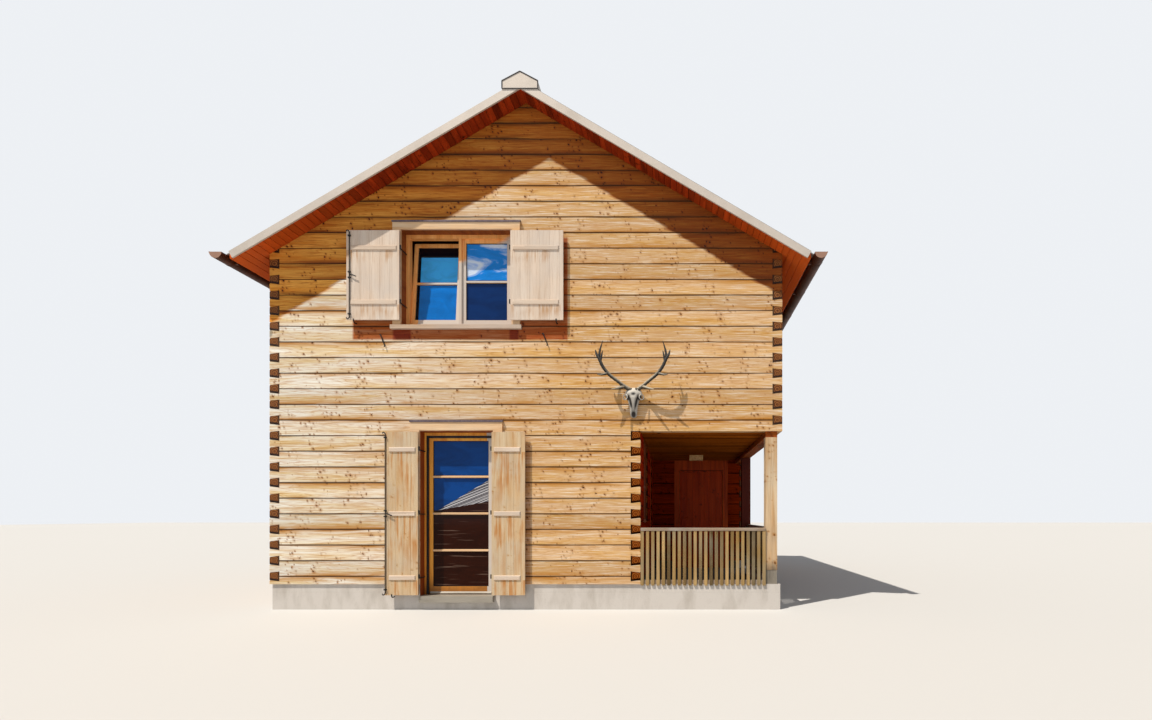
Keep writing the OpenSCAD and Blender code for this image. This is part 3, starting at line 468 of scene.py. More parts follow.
@dataclass(frozen=True)
class LogWall(Wood):
    """Hewn spruce logs, oiled once and bleached by sun and rain.

    Each course has its own tone and orange bands along its joints. Under the roof, above a
    line that follows the roof's cast shadow and rises towards the ridge, the colour holds
    painted shade, darker and more orange, which also stands for wood that kept more of its
    oil. Growth rings show where a log is cut across at the corners.

    Attributes:
        plinth_z, course: Height of the lowest log's foot, and height of a log.
        phase: Part of a log by which the joints are shifted.
        corner: Distance of the cut ends' middle from the house's middle.
        ring_mm: Width of a growth ring, drawn about ten times too wide so that it shows.
        outline: Colour of the painted shadow round cut ends, and of knots in the painted shade
            under the roof.
        stain: Colour of bands and fibres that kept their oil.
        tan_from, tan_to: Places along the logs where the tan starts and where it is full.
        tone_span: How much darker the darkest log is.
        shelter_shade_z, shelter_shade_x: Height of the line of painted shade under the roof, and
            place of its peak.
        shelter_shade_low, shelter_shade_high: Tints of the painted shade, which also stand for wood
            that kept its oil, at the two ends of the logs.
        covers_and_shadows: Stains behind a shutter or below a sill, reaching into the shadow that
            it casts,
        which is painted shade: lowest and highest place along the logs, lowest and highest
        height, and strength.
        grime_and_shade: Colour of what no rain has washed off, and of painted shade along the
            joints under the roof.
    """

    plinth_z: float = 0.364
    course: float = 0.2225
    phase: float = 0.5
    corner: float = 3.58
    ring_mm: float = 26.0
    ring_pale: str = "9C6430"
    ring_dark: str = "4C2008"
    outline: str = "1E0C04"
    joint: str = "5C3A1C"
    stain: str = "C98A45"
    tan: str = "C99A62"
    tan_from: float = -3.2
    tan_to: float = 0.4
    tan_share: float = 0.6
    tone_span: float = 0.2
    shelter_shade_z: float = 6.42
    shelter_shade_x: float = 0.33
    shelter_shade_slope: float = 0.589
    shelter_shade_low: str = "FFBC58"
    shelter_shade_high: str = "B07430"
    covers_and_shadows: tuple[tuple[float, float, float, float, float], ...] = ()
    cover_and_shadow_tint: str = "BC6812"
    grime_and_shade: str = "582C0A"

    def paint(self, tree: Tree, shader: Node) -> None:
        """Sets up the logs' colours, joints, cut ends and relief.

        Args:
            tree: Tree that takes the nodes.
            shader: Shader that the pattern feeds.
        """
        coord = add(tree, "TexCoord")
        axes = add(tree, "SeparateXYZ", [coord.outputs["Object"]])
        along = axes.outputs[self.grain.value]
        count = add(tree, "Math MULTIPLY_ADD", [axes.outputs["Z"], 1 / self.course,
                                                self.phase - self.plinth_z / self.course])
        number = add(tree, "Math FLOOR", [count])
        inside = add(tree, "Math FRACT", [count])
        chance = add(tree, "TexWhiteNoise", {"W": number}, noise_dimensions="1D")
        wood = self.fibres(tree, number)
        broad, fine = wood["broad"], wood["fine"]
        late = add(tree, "MapRange", [broad, 0.40, 0.66])
        side = add(tree, "MapRange", {0: along, 1: self.tan_from, 2: self.tan_to,
                                      4: self.tan_share})
        own = add(tree, "MapRange", {0: chance, 3: 1 - self.tone_span, 4: 1.06})
        lines = add(tree, "MapRange", [fine, 0.5, 0.72, 0.0, 0.85])
        rings = add(tree, "MapRange", [wood["rings"], 0.28, 0.5, 0.0, 0.45])
        bleached = add(tree, "MapRange", [fine, 0.3, 0.47, 0.75, 0.0])
        bands = self.bands(tree, inside, chance, broad)
        colour = layered(tree, self.pale, (late, self.warm), (side, self.tan),
                         (1.0, own, "MULTIPLY"), (lines, self.stain), (rings, self.stain),
                         (bleached, self.pale), (bands, self.stain),
                         (wood["halos"], self.halo), (wood["knots"], self.dark))
        # Painted shade under the roof: above the shadow line the colour is tinted darker and more
        # orange, with dark patches at the joints.
        shelter_shade = self.shelter_shade_share(tree, axes, broad)
        colour = add(tree, "Mix RGBA", {0: shelter_shade, 6: colour, 7: self.shelter_shade_tint(tree, along)},
                     blend_type="MULTIPLY")
        layers = [(shelter_shade, self.grime_and_shade_marks(tree, wood, inside, colour))]
        patch = add(tree, "MapRange", [broad, 0.38, 0.62, 0.88, 1.0])
        # Painted shadow of the shutters and the sill, together with the stains behind them: tinted
        # boxes.
        for *cover, strength in self.covers_and_shadows:
            share = self.behind(tree, along, axes.outputs["Z"], cover)
            share = add(tree, "Math MULTIPLY", [share, strength])
            share = add(tree, "Math MULTIPLY", [share, patch])
            layers.append((share, self.cover_and_shadow_tint, "MULTIPLY"))
        seam = add(tree, "Math PINGPONG", [count, 0.5])
        ragged = add(tree, "MapRange", [broad, 0.35, 0.65, 0.03, 0.1])
        dark = add(tree, "MapRange", [seam, 0.012, ragged, 0.95, 0.0])
        layers += [(dark, self.joint), self.cut_ends(tree, coord, axes, inside)]
        colour = layered(tree, colour, *layers)
        height = add(tree, "Math MULTIPLY_ADD", [fine, 0.35, broad])
        self.finished(tree, shader, colour, height, 7.0, 0.6)

    def bands(self, tree: Tree, inside: Node, chance: Node, broad: Node) -> Node:
        """Adds stained bands: along the lower joint of some logs, the upper joint of others.

        Args:
            tree: Tree that takes the nodes.
            inside: Place within the course, from 0 to 1.
            chance: Random number of each log.
            broad: Broad pattern, which breaks the bands up.

        Returns:
            The share of the stain.
        """
        low = add(tree, "MapRange", [inside, 0.05, 0.36, 0.9, 0.0])
        few = add(tree, "Math LESS_THAN", [chance, 0.38])
        low = add(tree, "Math MULTIPLY", [low, few])
        high = add(tree, "MapRange", [inside, 0.6, 0.95, 0.0, 0.95])
        rest = add(tree, "Math GREATER_THAN", [chance, 0.55])
        both = add(tree, "Math MULTIPLY_ADD", [high, rest, low])
        patch = add(tree, "MapRange", [broad, 0.40, 0.6])
        return add(tree, "Math MULTIPLY", [both, patch])

    def shelter_shade_share(self, tree: Tree, axes: Node, broad: Node) -> Node:
        """Adds the share of painted shade above the line of the roof's shadow, where rain and sun
        don't reach the wood either.

        Args:
            tree: Tree that takes the nodes.
            axes: Single coordinates.
            broad: Broad pattern, which makes the line uneven.

        Returns:
            One above the line and nought below it.
        """
        off = away(tree, axes.outputs[self.grain.value], self.shelter_shade_x)
        rise = add(tree, "Math MULTIPLY_ADD", [off, self.shelter_shade_slope, axes.outputs["Z"]])
        rise = add(tree, "Math MULTIPLY_ADD", [broad, 0.16, rise])
        start = self.shelter_shade_z + 0.06
        return add(tree, "MapRange", [rise, start, start + 0.05])

    def shelter_shade_tint(self, tree: Tree, along: Socket) -> Node:
        """Adds the tint of the painted shade under the roof, which changes along the logs."""
        ends = add(tree, "MapRange", [along, -3.4, 2.4])
        return add(tree, "Mix RGBA", {0: ends, 6: self.shelter_shade_low, 7: self.shelter_shade_high})

    def grime_and_shade_marks(self, tree: Tree, wood: dict[str, Node], inside: Node, colour: Node) -> Node:
        """Draws dark patches along the joints and deeper knots: dirt that no rain has washed off,
        and painted shade.

        Args:
            tree: Tree that takes the nodes.
            wood: Patterns of the fibres.
            inside: Place within the course, from 0 to 1.
            colour: Colour of the wood in the painted shade under the roof.

        Returns:
            The colour with patches and knots.
        """
        off = add(tree, "Math PINGPONG", [inside, 0.5])
        near = add(tree, "MapRange", [off, 0.02, 0.3, 0.8, 0.0])
        patch = add(tree, "MapRange", [wood["broad"], 0.42, 0.6])
        near = add(tree, "Math MULTIPLY", [near, patch])
        streak = add(tree, "MapRange", [wood["fine"], 0.52, 0.68, 0.0, 0.35])
        return layered(tree, colour, (near, self.grime_and_shade), (streak, self.grime_and_shade),
                       (wood["knots"], self.outline))

    def behind(self, tree: Tree, along: Socket, height: Socket, cover: Sequence[float]) -> Node:
        """Adds the share of a place behind a shutter or below a sill, together with the shadow that
        it casts, which is painted.

        Args:
            tree: Tree that takes the nodes.
            along: Place along the logs.
            height: Height.
            cover: Lowest and highest place along the logs, lowest and highest height.

        Returns:
            One inside the box, falling to nought over its outer 3 cm.
        """
        shares = []
        for place, low, high in ((along, *cover[:2]), (height, *cover[2:])):
            off = away(tree, place, (low + high) / 2)
            half = (high - low) / 2
            shares.append(add(tree, "MapRange", [off, half - 0.02, half + 0.01, 1.0, 0.0]))
        return add(tree, "Math MULTIPLY", [shares[0], shares[1]])

    def cut_ends(self, tree: Tree, coord: Node, axes: Node, inside: Node) -> tuple[Node, Node]:
        """Adds rings and a dark outline on faces cut across the logs.

        Args:
            tree: Tree that takes the nodes.
            coord: Texture coordinates.
            axes: Their single axes.
            inside: Place within the course, from 0 to 1.

        Returns:
            The share of the cut ends and their colour.
        """
        normal = add(tree, "SeparateXYZ", [coord.outputs["Normal"]])
        facing = add(tree, "Math ABSOLUTE", [normal.outputs[self.grain.value]])
        cut = add(tree, "Math GREATER_THAN", [facing, 0.7])
        over = axes.outputs[1 - self.grain.value]
        side = add(tree, "Math ABSOLUTE", [over])
        side = add(tree, "Math ADD", [side, -abs(self.corner)])
        rise = add(tree, "Math MULTIPLY_ADD", [inside, self.course, -self.course / 2])
        flat = add(tree, "CombineXYZ", [side, rise])
        far = add(tree, "VectorMath LENGTH", [flat]).outputs["Value"]
        wobble = add(tree, "TexNoise", {"Vector": coord.outputs["Object"], "Scale": 14.0})
        turns = add(tree, "Math MULTIPLY_ADD", [far, 1000 / self.ring_mm, wobble])
        band = add(tree, "Math PINGPONG", [turns, 0.5])
        share = add(tree, "MapRange", [band, 0.1, 0.45])
        colour = add(tree, "Mix RGBA", {0: share, 6: self.ring_dark, 7: self.ring_pale})
        # Painted shadow: a dark rim along the foot and the inner side of each cut end.
        half = add(tree, "Math MULTIPLY_ADD", [side, -0.12, 0.054])
        low = add(tree, "Math ADD", [rise, half])
        foot = add(tree, "MapRange", [low, 0.014, 0.032, 1.0, 0.0])
        inner = add(tree, "MapRange", [side, -0.058, -0.042, 1.0, 0.0])
        rim = add(tree, "Math MAXIMUM", [foot, inner])
        return cut, add(tree, "Mix RGBA", {0: rim, 6: colour, 7: self.outline})


@dataclass(frozen=True)
class Boards(Wood):
    """Planed boards, each with its own tone.

    Attributes:
        pitch, across: Width of drawn boards and the axis across them; nought draws none.
        tone_span: How much darker the darkest board is.
        drip_z, drip_pitch: Height that rusty streaks hang from, and distance to the next
            such height; nought draws none.
        foot_z: Height below which the foot is stained; nought stains nothing.
        deep_y: Depth behind which the wood stands in the porch's shade.
        painted_sun_z, painted_sun_slope: Height, at the house's middle, of the shade line below
            which sunlight is painted on as a paler colour, and its rise to the right; nought paints
            none.
        painted_sun_x: Place to the right of which the painted sunlight reaches.
        glow: Colour of boards towards the eaves, where light comes from below.
    """

    grain: Axis = Axis.Z
    knot_share: float = CLEAR
    pitch: float = 0.0
    across: Axis = Axis.Z
    joint: str = "2E170B"
    weather: float = 0.0
    grey: str = "A59C8C"
    tone_span: float = 0.2
    fibre_share: float = 0.5
    drip_z: float = 0.0
    drip_pitch: float = 0.0
    drip_reach: float = 0.34
    drip: str = "B5722E"
    drip_share: float = 0.9
    foot_z: float = 0.0
    foot: str = "2A1A10"
    deep_y: float = BEYOND
    deep: str = "6A2410"
    painted_sun_z: float = 0.0
    painted_sun: str = "CBC4BD"
    painted_sun_x: float = -1.6
    painted_sun_slope: float = 0.5
    glow: str = ""

    def paint(self, tree: Tree, shader: Node) -> None:
        """Sets up the boards' colours, weathering and relief.

        Args:
            tree: Tree that takes the nodes.
            shader: Shader that the pattern feeds.
        """
        number = add(tree, "Attribute", attribute_name="tone").outputs["Fac"]
        place = add(tree, "TexCoord").outputs["Object"]
        axes = add(tree, "SeparateXYZ", [place])
        x, y, z = (axes.outputs[axis.value] for axis in Axis)
        if self.pitch:
            count = add(tree, "Math MULTIPLY", [axes.outputs[self.across.value], 1 / self.pitch])
            whole = add(tree, "Math FLOOR", [count])
            number = add(tree, "Math ADD", [whole, number])
        wood = self.fibres(tree, number)
        broad, fine = wood["broad"], wood["fine"]
        late = add(tree, "MapRange", [broad, 0.4, 0.7])
        chance = add(tree, "TexWhiteNoise", {"W": number}, noise_dimensions="1D")
        own = add(tree, "MapRange", {0: chance, 3: 1 - self.tone_span, 4: 1.05})
        lines = add(tree, "MapRange", [fine, 0.48, 0.8, 0.0, self.fibre_share])
        worn = add(tree, "TexNoise", {"Vector": place, "Scale": 2.3, "Detail": 4.0})
        worn = add(tree, "MapRange", {0: worn, 1: 0.45, 2: 0.7, 4: self.weather})
        layers = [(late, self.warm), (1.0, own, "MULTIPLY"), (lines, self.dark),
                  (worn, self.grey), (wood["halos"], self.halo), (wood["knots"], self.dark)]
        if self.drip_pitch:
            layers.append((self.drips(tree, place, axes), self.drip))
        if self.foot_z:
            wet = add(tree, "Math MULTIPLY_ADD", [broad, 0.3, z])
            wet = add(tree, "MapRange", [wet, self.foot_z, self.foot_z + 0.22, 0.95, 0.0])
            layers.append((wet, self.foot))
        # Painted sunlight: paler below a sloping shade line and to the right of a given place.
        if self.painted_sun_z:
            line = add(tree, "Math MULTIPLY_ADD", [x, -self.painted_sun_slope, z])
            low = add(tree, "MapRange", [line, self.painted_sun_z - 0.06, self.painted_sun_z, 0.95, 0.0])
            past = add(tree, "Math GREATER_THAN", [x, self.painted_sun_x])
            layers.append((add(tree, "Math MULTIPLY", [low, past]), self.painted_sun))
        # Painted shade of the porch: wood deeper than a given depth is tinted dark.
        if self.deep_y < BEYOND:
            inner = add(tree, "Math GREATER_THAN", [y, self.deep_y])
            layers.append((inner, self.deep, "MULTIPLY"))
        if self.glow:
            off = add(tree, "Math ABSOLUTE", [x])
            outer = add(tree, "MapRange", {0: off, 1: 2.2, 2: 4.0, 4: 0.7})
            layers.append((outer, self.glow))
        if self.pitch:
            seam = add(tree, "Math PINGPONG", [count, 0.5])
            dark = add(tree, "MapRange", [seam, 0.02, 0.05, 0.9, 0.0])
            layers.append((dark, self.joint))
        height = add(tree, "Math MULTIPLY_ADD", [fine, 0.6, broad])
        self.finished(tree, shader, layered(tree, self.pale, *layers), height, 2.0, 0.5)

    def drips(self, tree: Tree, place: Socket, axes: Node) -> Node:
        """Adds upright streaks that are strongest just below each batten.

        Args:
            tree: Tree that takes the nodes.
            place: Object coordinates.
            axes: The same as single coordinates.

        Returns:
            The share of the streaks.
        """
        thin = add(tree, "VectorMath MULTIPLY", [place, (34.0, 34.0, 1.5)])
        streak = add(tree, "TexNoise", {"Vector": thin, "Scale": 1.0, "Detail": 4.0})
        tall = add(tree, "VectorMath MULTIPLY", [place, (7.0, 7.0, 3.0)])
        patch = add(tree, "TexNoise", {"Vector": tall, "Scale": 1.0, "Detail": 2.0})
        streak = add(tree, "Math MULTIPLY_ADD", [patch, 0.7, streak])
        below = add(tree, "Math MULTIPLY_ADD", [axes.outputs["Z"], -1 / self.drip_pitch,
                                                self.drip_z / self.drip_pitch])
        below = add(tree, "Math FRACT", [below])
        reach = self.drip_reach / self.drip_pitch
        fade = add(tree, "MapRange", [below, 0.45 * reach, reach, 1.0, 0.1])
        drawn = add(tree, "MapRange", {0: streak, 1: 0.82, 2: 1.0, 4: self.drip_share})
        return add(tree, "Math MULTIPLY", [drawn, fade])


@dataclass(frozen=True)
class Coating(Finish):
    """Sheet metal or iron: one colour with soft streaks of wear, so many per metre each way."""

    base: str = "C9CACB"
    worn: str = "8F9092"
    metallic: float = 0.6
    rough: float = 0.42
    streak: tuple[float, float, float] = (6.0, 1.0, 1.0)
    share: float = 0.5
    tone_span: float = 0.08

    def paint(self, tree: Tree, shader: Node) -> None:
        """Sets up the streaks, the tone of each sheet and the gloss.

        Args:
            tree: Tree that takes the nodes.
            shader: Shader that the pattern feeds.
        """
        place = add(tree, "TexCoord").outputs["Object"]
        drawn = add(tree, "VectorMath MULTIPLY", [place, self.streak])
        noise = add(tree, "TexNoise", {"Vector": drawn, "Scale": 1.0, "Detail": 5.0,
                                       "Roughness": 0.62})
        worn = add(tree, "MapRange", {0: noise, 1: 0.42, 2: 0.75, 4: self.share})
        number = add(tree, "Attribute", attribute_name="tone").outputs["Fac"]
        chance = add(tree, "TexWhiteNoise", {"W": number}, noise_dimensions="1D")
        own = add(tree, "MapRange", {0: chance, 3: 1 - self.tone_span, 4: 1.0})
        colour = layered(tree, self.base, (worn, self.worn), (1.0, own, "MULTIPLY"))
        gloss = add(tree, "MapRange", {0: noise, 3: self.rough - 0.08, 4: self.rough + 0.14})
        relief = add(tree, "Bump", {"Height": noise, "Distance": 0.002, "Strength": 0.3})
        feed(shader, {"Base Color": colour, "Metallic": self.metallic, "Roughness": gloss,
                      "Normal": relief})


@dataclass(frozen=True)
class Concrete(Finish):
    """Cast concrete: pale skin with pores, board lines and grey water stains.

    Attributes:
        lift: Height of a form board.
        porch_x, porch_y: Left end and front of the part inside the porch.
        porch_half, inside: Half the width of that part, and the colour of the painted shade there.
    """

    skin: str = "D3CFC5"
    stain: str = "938E84"
    hole: str = "6F6A62"
    lift: float = 0.12
    porch_x: float = BEYOND
    porch_y: float = -4.05
    porch_half: float = 1.0
    inside: str = "4A3C32"

    def paint(self, tree: Tree, shader: Node) -> None:
        """Sets up stains, pores, the formwork's lines and painted shade on the part inside the
        porch.

        Args:
            tree: Tree that takes the nodes.
            shader: Shader that the pattern feeds.
        """
        place = add(tree, "TexCoord").outputs["Object"]
        tall = add(tree, "VectorMath MULTIPLY", [place, (5.0, 5.0, 1.6)])
        cloud = add(tree, "TexNoise", {"Vector": tall, "Scale": 1.0, "Detail": 6.0,
                                       "Roughness": 0.6})
        wet = add(tree, "MapRange", {0: cloud, 1: 0.46, 2: 0.74, 4: 0.75})
        pores = add(tree, "TexVoronoi", {"Vector": place, "Scale": 55.0})
        pore = add(tree, "MapRange", [pores, 0.06, 0.2, 0.5, 0.0])
        axes = add(tree, "SeparateXYZ", [place])
        # Painted shade: the part of the base inside the porch is tinted dark.
        deep = add(tree, "Math GREATER_THAN", [axes.outputs["Y"], self.porch_y])
        off = away(tree, axes.outputs["X"], self.porch_x + self.porch_half)
        near = add(tree, "Math LESS_THAN", [off, self.porch_half])
        inner = add(tree, "Math MULTIPLY", [deep, near])
        colour = layered(tree, self.skin, (wet, self.stain), (pore, self.hole),
                         (inner, self.inside))
        rows = add(tree, "Math PINGPONG", [axes.outputs["Z"], self.lift])
        line = add(tree, "MapRange", [rows, 0.0, 0.006])
        grit = add(tree, "TexNoise", {"Vector": place, "Scale": 160.0, "Detail": 2.0})
        height = add(tree, "Math MULTIPLY_ADD", [grit, 0.5, line])
        relief = add(tree, "Bump", {"Height": height, "Distance": 0.003, "Strength": 0.45})
        feed(shader, {"Base Color": colour, "Roughness": 0.88, "Normal": relief})


@dataclass(frozen=True)
class Glazing(Finish):
    """Glass seen from outside: it mirrors blue sky, clouds and a roof across the way.

    Attributes:
        tints: Colours of the lower left, upper left, lower right and upper right panes.
        split_x, split_z: Place between left and right panes, and height between colours.
        cloud, cloud_share: Colour of clouds, and how strongly the upper right pane has them.
        dark_x, dark_z: Place left of which, and height above which, the frame shades a pane.
        roof_x: Place from which a mirrored roof rises to the right.
        roof_slopes: Rise of that roof's ridge line and of its eave line.
        sheets: Dark and pale colours of its sheets.
        gleam, thread: Share and colour of thin level lines that the part below mirrors.
        shade: Colour of a pane in the shade of its frame.
    """

    tints: tuple[str, str, str, str] = ("122A44", "1E4064", "122A44", "1E4064")
    split_x: float = 0.0
    split_z: float = 3.0
    cloud: str = "DCE6F0"
    cloud_share: float = 0.0
    dark_x: float = -BEYOND
    dark_z: float = BEYOND
    roof_x: float = BEYOND
    roof_slopes: tuple[float, float] = (0.593, 0.175)
    sheets: tuple[str, str] = ("241C2C", "D2D4DA")
    gleam: float = 0.0
    thread: str = "A88E7E"
    shade: str = "0C0A14"

    def paint(self, tree: Tree, shader: Node) -> None:
        """Sets up the mirrored sky, clouds, roof and shade, and the smooth skin.

        Args:
            tree: Tree that takes the nodes.
            shader: Shader that the pattern feeds.
        """
        place = add(tree, "TexCoord").outputs["Object"]
        axes = add(tree, "SeparateXYZ", [place])
        x, z = axes.outputs["X"], axes.outputs["Z"]
        right = add(tree, "Math GREATER_THAN", [x, self.split_x])
        reach = add(tree, "Math ADD", [x, -self.roof_x])
        reach = add(tree, "Math MAXIMUM", [reach, 0.0])
        over = []
        for slope in self.roof_slopes:
            line = add(tree, "Math MULTIPLY_ADD", [reach, slope, self.split_z])
            over.append(add(tree, "Math GREATER_THAN", [z, line]))
        upper = over[0]
        roof = add(tree, "Math SUBTRACT", [over[1], upper])
        halves = [add(tree, "Mix RGBA", {0: upper, 6: low, 7: high})
                  for low, high in (self.tints[:2], self.tints[2:])]
        wide = add(tree, "VectorMath MULTIPLY", [place, (1.9, 1.0, 4.2)])
        cloud = add(tree, "TexNoise", {"Vector": wide, "Scale": 1.0, "Detail": 6.0,
                                       "Roughness": 0.6, "Distortion": 1.2})
        veil = add(tree, "MapRange", {0: cloud, 1: 0.47, 2: 0.66, 4: self.cloud_share})
        veil = add(tree, "Math MULTIPLY", [veil, upper])
        veil = add(tree, "Math MULTIPLY", [veil, right])
        dim = add(tree, "MapRange", [cloud, 0.3, 0.6, 0.7, 1.1])
        course = add(tree, "Math MULTIPLY_ADD", [reach, -0.4, z])
        drawn = add(tree, "TexNoise", {"W": course, "Scale": 70.0, "Detail": 1.0},
                    noise_dimensions="1D")
        white = add(tree, "MapRange", [drawn, 0.46, 0.6])
        sheets = add(tree, "Mix RGBA", {0: white, 6: self.sheets[0], 7: self.sheets[1]})
        thin = add(tree, "VectorMath MULTIPLY", [place, (1.3, 1.0, 30.0)])
        wisp = add(tree, "TexNoise", {"Vector": thin, "Scale": 1.0, "Detail": 3.0})
        wisp = add(tree, "MapRange", {0: wisp, 1: 0.6, 2: 0.72, 4: self.gleam})
        wisp = add(tree, "Math SUBTRACT", [wisp, over[1]], use_clamp=True)
        edge = add(tree, "Math LESS_THAN", [x, self.dark_x])
        high = add(tree, "Math GREATER_THAN", [z, self.dark_z])
        edge = add(tree, "Math MAXIMUM", [edge, high])
        edge = add(tree, "Math SUBTRACT", [edge, right], use_clamp=True)
        colour = layered(tree, halves[0], (right, halves[1]), (veil, self.cloud),
                         (1.0, dim, "MULTIPLY"), (roof, sheets), (wisp, self.thread),
                         (edge, self.shade))
        wave = add(tree, "TexNoise", {"Vector": place, "Scale": 2.0, "Detail": 1.0})
        relief = add(tree, "Bump", {"Height": wave, "Distance": 0.004, "Strength": 0.2})
        feed(shader, {"Base Color": colour, "Roughness": 0.05, "IOR": 1.18, "Normal": relief})


@dataclass(frozen=True)
class Bone(Finish):
    """Bleached bone and antler: pale ridges, painted shade in the skull's hollows and under the
    antlers, brown towards the burrs.
    """

    pale: str = "D8CFC0"
    dark: str = "4E3B2A"
    grain_per_m: float = 90.0

    def paint(self, tree: Tree, shader: Node) -> None:
        """Sets up the tone from the shape's own tone value, with fine pits.

        Args:
            tree: Tree that takes the nodes.
            shader: Shader that the pattern feeds.
        """
        place = add(tree, "TexCoord").outputs["Object"]
        number = add(tree, "Attribute", attribute_name="tone").outputs["Fac"]
        noise = add(tree, "TexNoise", {"Vector": place, "Scale": self.grain_per_m, "Detail": 3.0})
        share = add(tree, "Math MULTIPLY_ADD", [noise, 0.35, number])
        ramp = add(tree, "ValToRGB", [share], stops=[(0.12, self.pale), (0.95, self.dark)])
        relief = add(tree, "Bump", {"Height": noise, "Distance": 0.003, "Strength": 0.6})
        feed(shader, {"Base Color": ramp, "Roughness": 0.62, "Normal": relief})


@dataclass(frozen=True)
class OpalGlass(Finish):
    """Opal acrylic of the lamp: even, milky and slightly warm."""

    milk: str = "ECC98C"
    amber: str = "B88A4C"

    def paint(self, tree: Tree, shader: Node) -> None:
        """Sets up the milky shade with a faint mottle.

        Args:
            tree: Tree that takes the nodes.
            shader: Shader that the pattern feeds.
        """
        place = add(tree, "TexCoord").outputs["Object"]
        noise = add(tree, "TexNoise", {"Vector": place, "Scale": 30.0})
        ramp = add(tree, "ValToRGB", [noise], stops=[(0.2, self.amber), (0.7, self.milk)])
        feed(shader, {"Base Color": ramp, "Roughness": 0.25, "Subsurface Weight": 0.15})


# Sun-bleached logs of the front: cream to the left, tan to the right, orange at the joints,
# painted shade under the roof, and orange stains with painted shadow behind and below the
# open shutters and the window's sill
FRONT_LOGS = LogWall(
    "front_spruce_logs", pale="F6F4EA", warm="E4CA98", dark="40200C", halo="A86E30",
    stain="B87A2C", tan="D69C42", tan_share=0.7, joint="482A12", corner=4.13,
    covers_and_shadows=((-2.47, -1.63, 3.84, 5.3, 1.0), (-0.24, 0.60, 3.84, 5.3, 1.0),
            (-1.9, -0.1, 3.84, 4.06, 1.0), (-0.45, 0.07, 0.0, 2.38, 0.4),
            (-1.95, -1.5, 0.0, 2.38, 0.4)))
# Logs along the sides: less sun, so they stay a deeper honey brown, with painted shade below the
# eaves
SIDE_LOGS = LogWall(
    "side_spruce_logs", pale="DDB886", warm="C08A4C", dark="4A2810", grain=Axis.Y, face=Axis.X,
    phase=0.0, stain="A0622A", tan="B47C42", tan_share=0.4, shelter_shade_z=4.35, shelter_shade_slope=0.0,
    shelter_shade_low="C88848", shelter_shade_high="C88848")
# Logs of the back: paler honey, with painted shade only right under the gable's tip
BACK_LOGS = LogWall(
    "back_spruce_logs", pale="DCBE92", warm="C29058", dark="4A2810", stain="A86C32", tan="BC8A50",
    corner=4.13, shelter_shade_x=0.0, shelter_shade_z=6.5, shelter_shade_low="D89A58", shelter_shade_high="D89A58")
# Logs inside the porch: out of the weather, so they keep the red-brown of the first oil, drawn
# darker and redder as painted porch shade
PORCH_SIDE_LOGS = LogWall(
    "porch_side_logs", pale="BC340E", warm="8C200A", dark="2E0A02", halo="6A1806", grain=Axis.Y,
    face=Axis.X, phase=0.0, corner=1.561, stain="7C1806", joint="240602", tan="8A1C0A",
    shelter_shade_z=ABOVE, ring_pale="A45E24", ring_dark="501A06", gloss=0.0)
# The porch's back wall, lower and deeper: the same oil and painted porch shade, a little more
# orange
PORCH_BACK_LOGS = LogWall(
    "porch_back_logs", pale="BC420E", warm="903008", dark="2A0A02", halo="5E1804", stain="6E1C04",
    joint="240802", tan="7A2206", shelter_shade_z=ABOVE, gloss=0.0)
# Planed spruce of the upper shutters, silvered by rain, with rusty streaks under the battens
SHUTTER_WOOD = Boards(
    "upper_shutter_spruce", pale="E8D8C8", warm="DAC4B0", dark="A08062", halo="C6A67C",
    fibre_mm=16.0, weather=0.5, grey="CCC4BE", tone_span=0.06, fibre_share=0.55, drip_z=4.317,
    drip_pitch=0.767, drip_reach=0.2, drip="B07830", drip_share=0.6)
# The door's shutters get less rain and more splashes: warmer, with longer streaks
DOOR_SHUTTER_WOOD = Boards(
    "door_shutter_boards", pale="DCC6A4", warm="CDA676", dark="9A6A3C", halo="BC9058",
    fibre_mm=16.0, knot_share=-0.3, weather=0.5, grey="C2B6A4", tone_span=0.12, fibre_share=0.45,
    drip_z=0.43, drip_pitch=0.904, drip_reach=0.85, drip="B87428", drip_share=0.75)
# Battens stand out from the boards into the rain: the palest silver, without streaks
BATTEN_WOOD = Boards(
    "batten_spruce", pale="E2D0BE", warm="D2BAA4", dark="A08468", grain=Axis.X, halo="BCA080",
    weather=0.4, grey="CCC6C0", tone_span=0.08)
# Casings and lintels, planed and oiled: pale gold with a few grey patches
TRIM_WOOD = Boards(
    "trim_spruce", pale="F2D2AC", warm="E4B47E", dark="8A5A30", grain=Axis.X, weather=0.25,
    grey="BCAEA0", knot_share=-0.6)
# Board under the window: flat to the rain, so it has gone greyer
SILL_WOOD = Boards(
    "sill_spruce", pale="D3C0B0", warm="C4A280", dark="7A5638", grain=Axis.X, weather=0.4,
    grey="AEA49C", knot_share=-0.6)
# Corner posts of the porch: bleached outside, red-brown behind as painted porch shade, dark where
# rain splashes
POST_WOOD = Boards(
    "post_spruce", pale="E2CAA8", warm="CDA06C", dark="6E4622", weather=0.35, knot_share=0.4,
    foot_z=0.66, deep_y=-3.0)
# Sawn slats of railings and screens: each slat its own yellow or grey, dark at the foot
RAIL_WOOD = Boards(
    "rail_spruce", pale="D2B078", warm="A47E3E", dark="4A3418", weather=0.5, grey="8E8A78",
    tone_span=0.8, foot_z=0.3, foot="4A3820")
# Rails that lie flat to the rain: grey all over
RAIL_TOP_WOOD = Boards(
    "rail_top_spruce", pale="B6A08A", warm="8E7860", dark="4E4234", grain=Axis.X, weather=0.6,
    grey="B4AEA8")
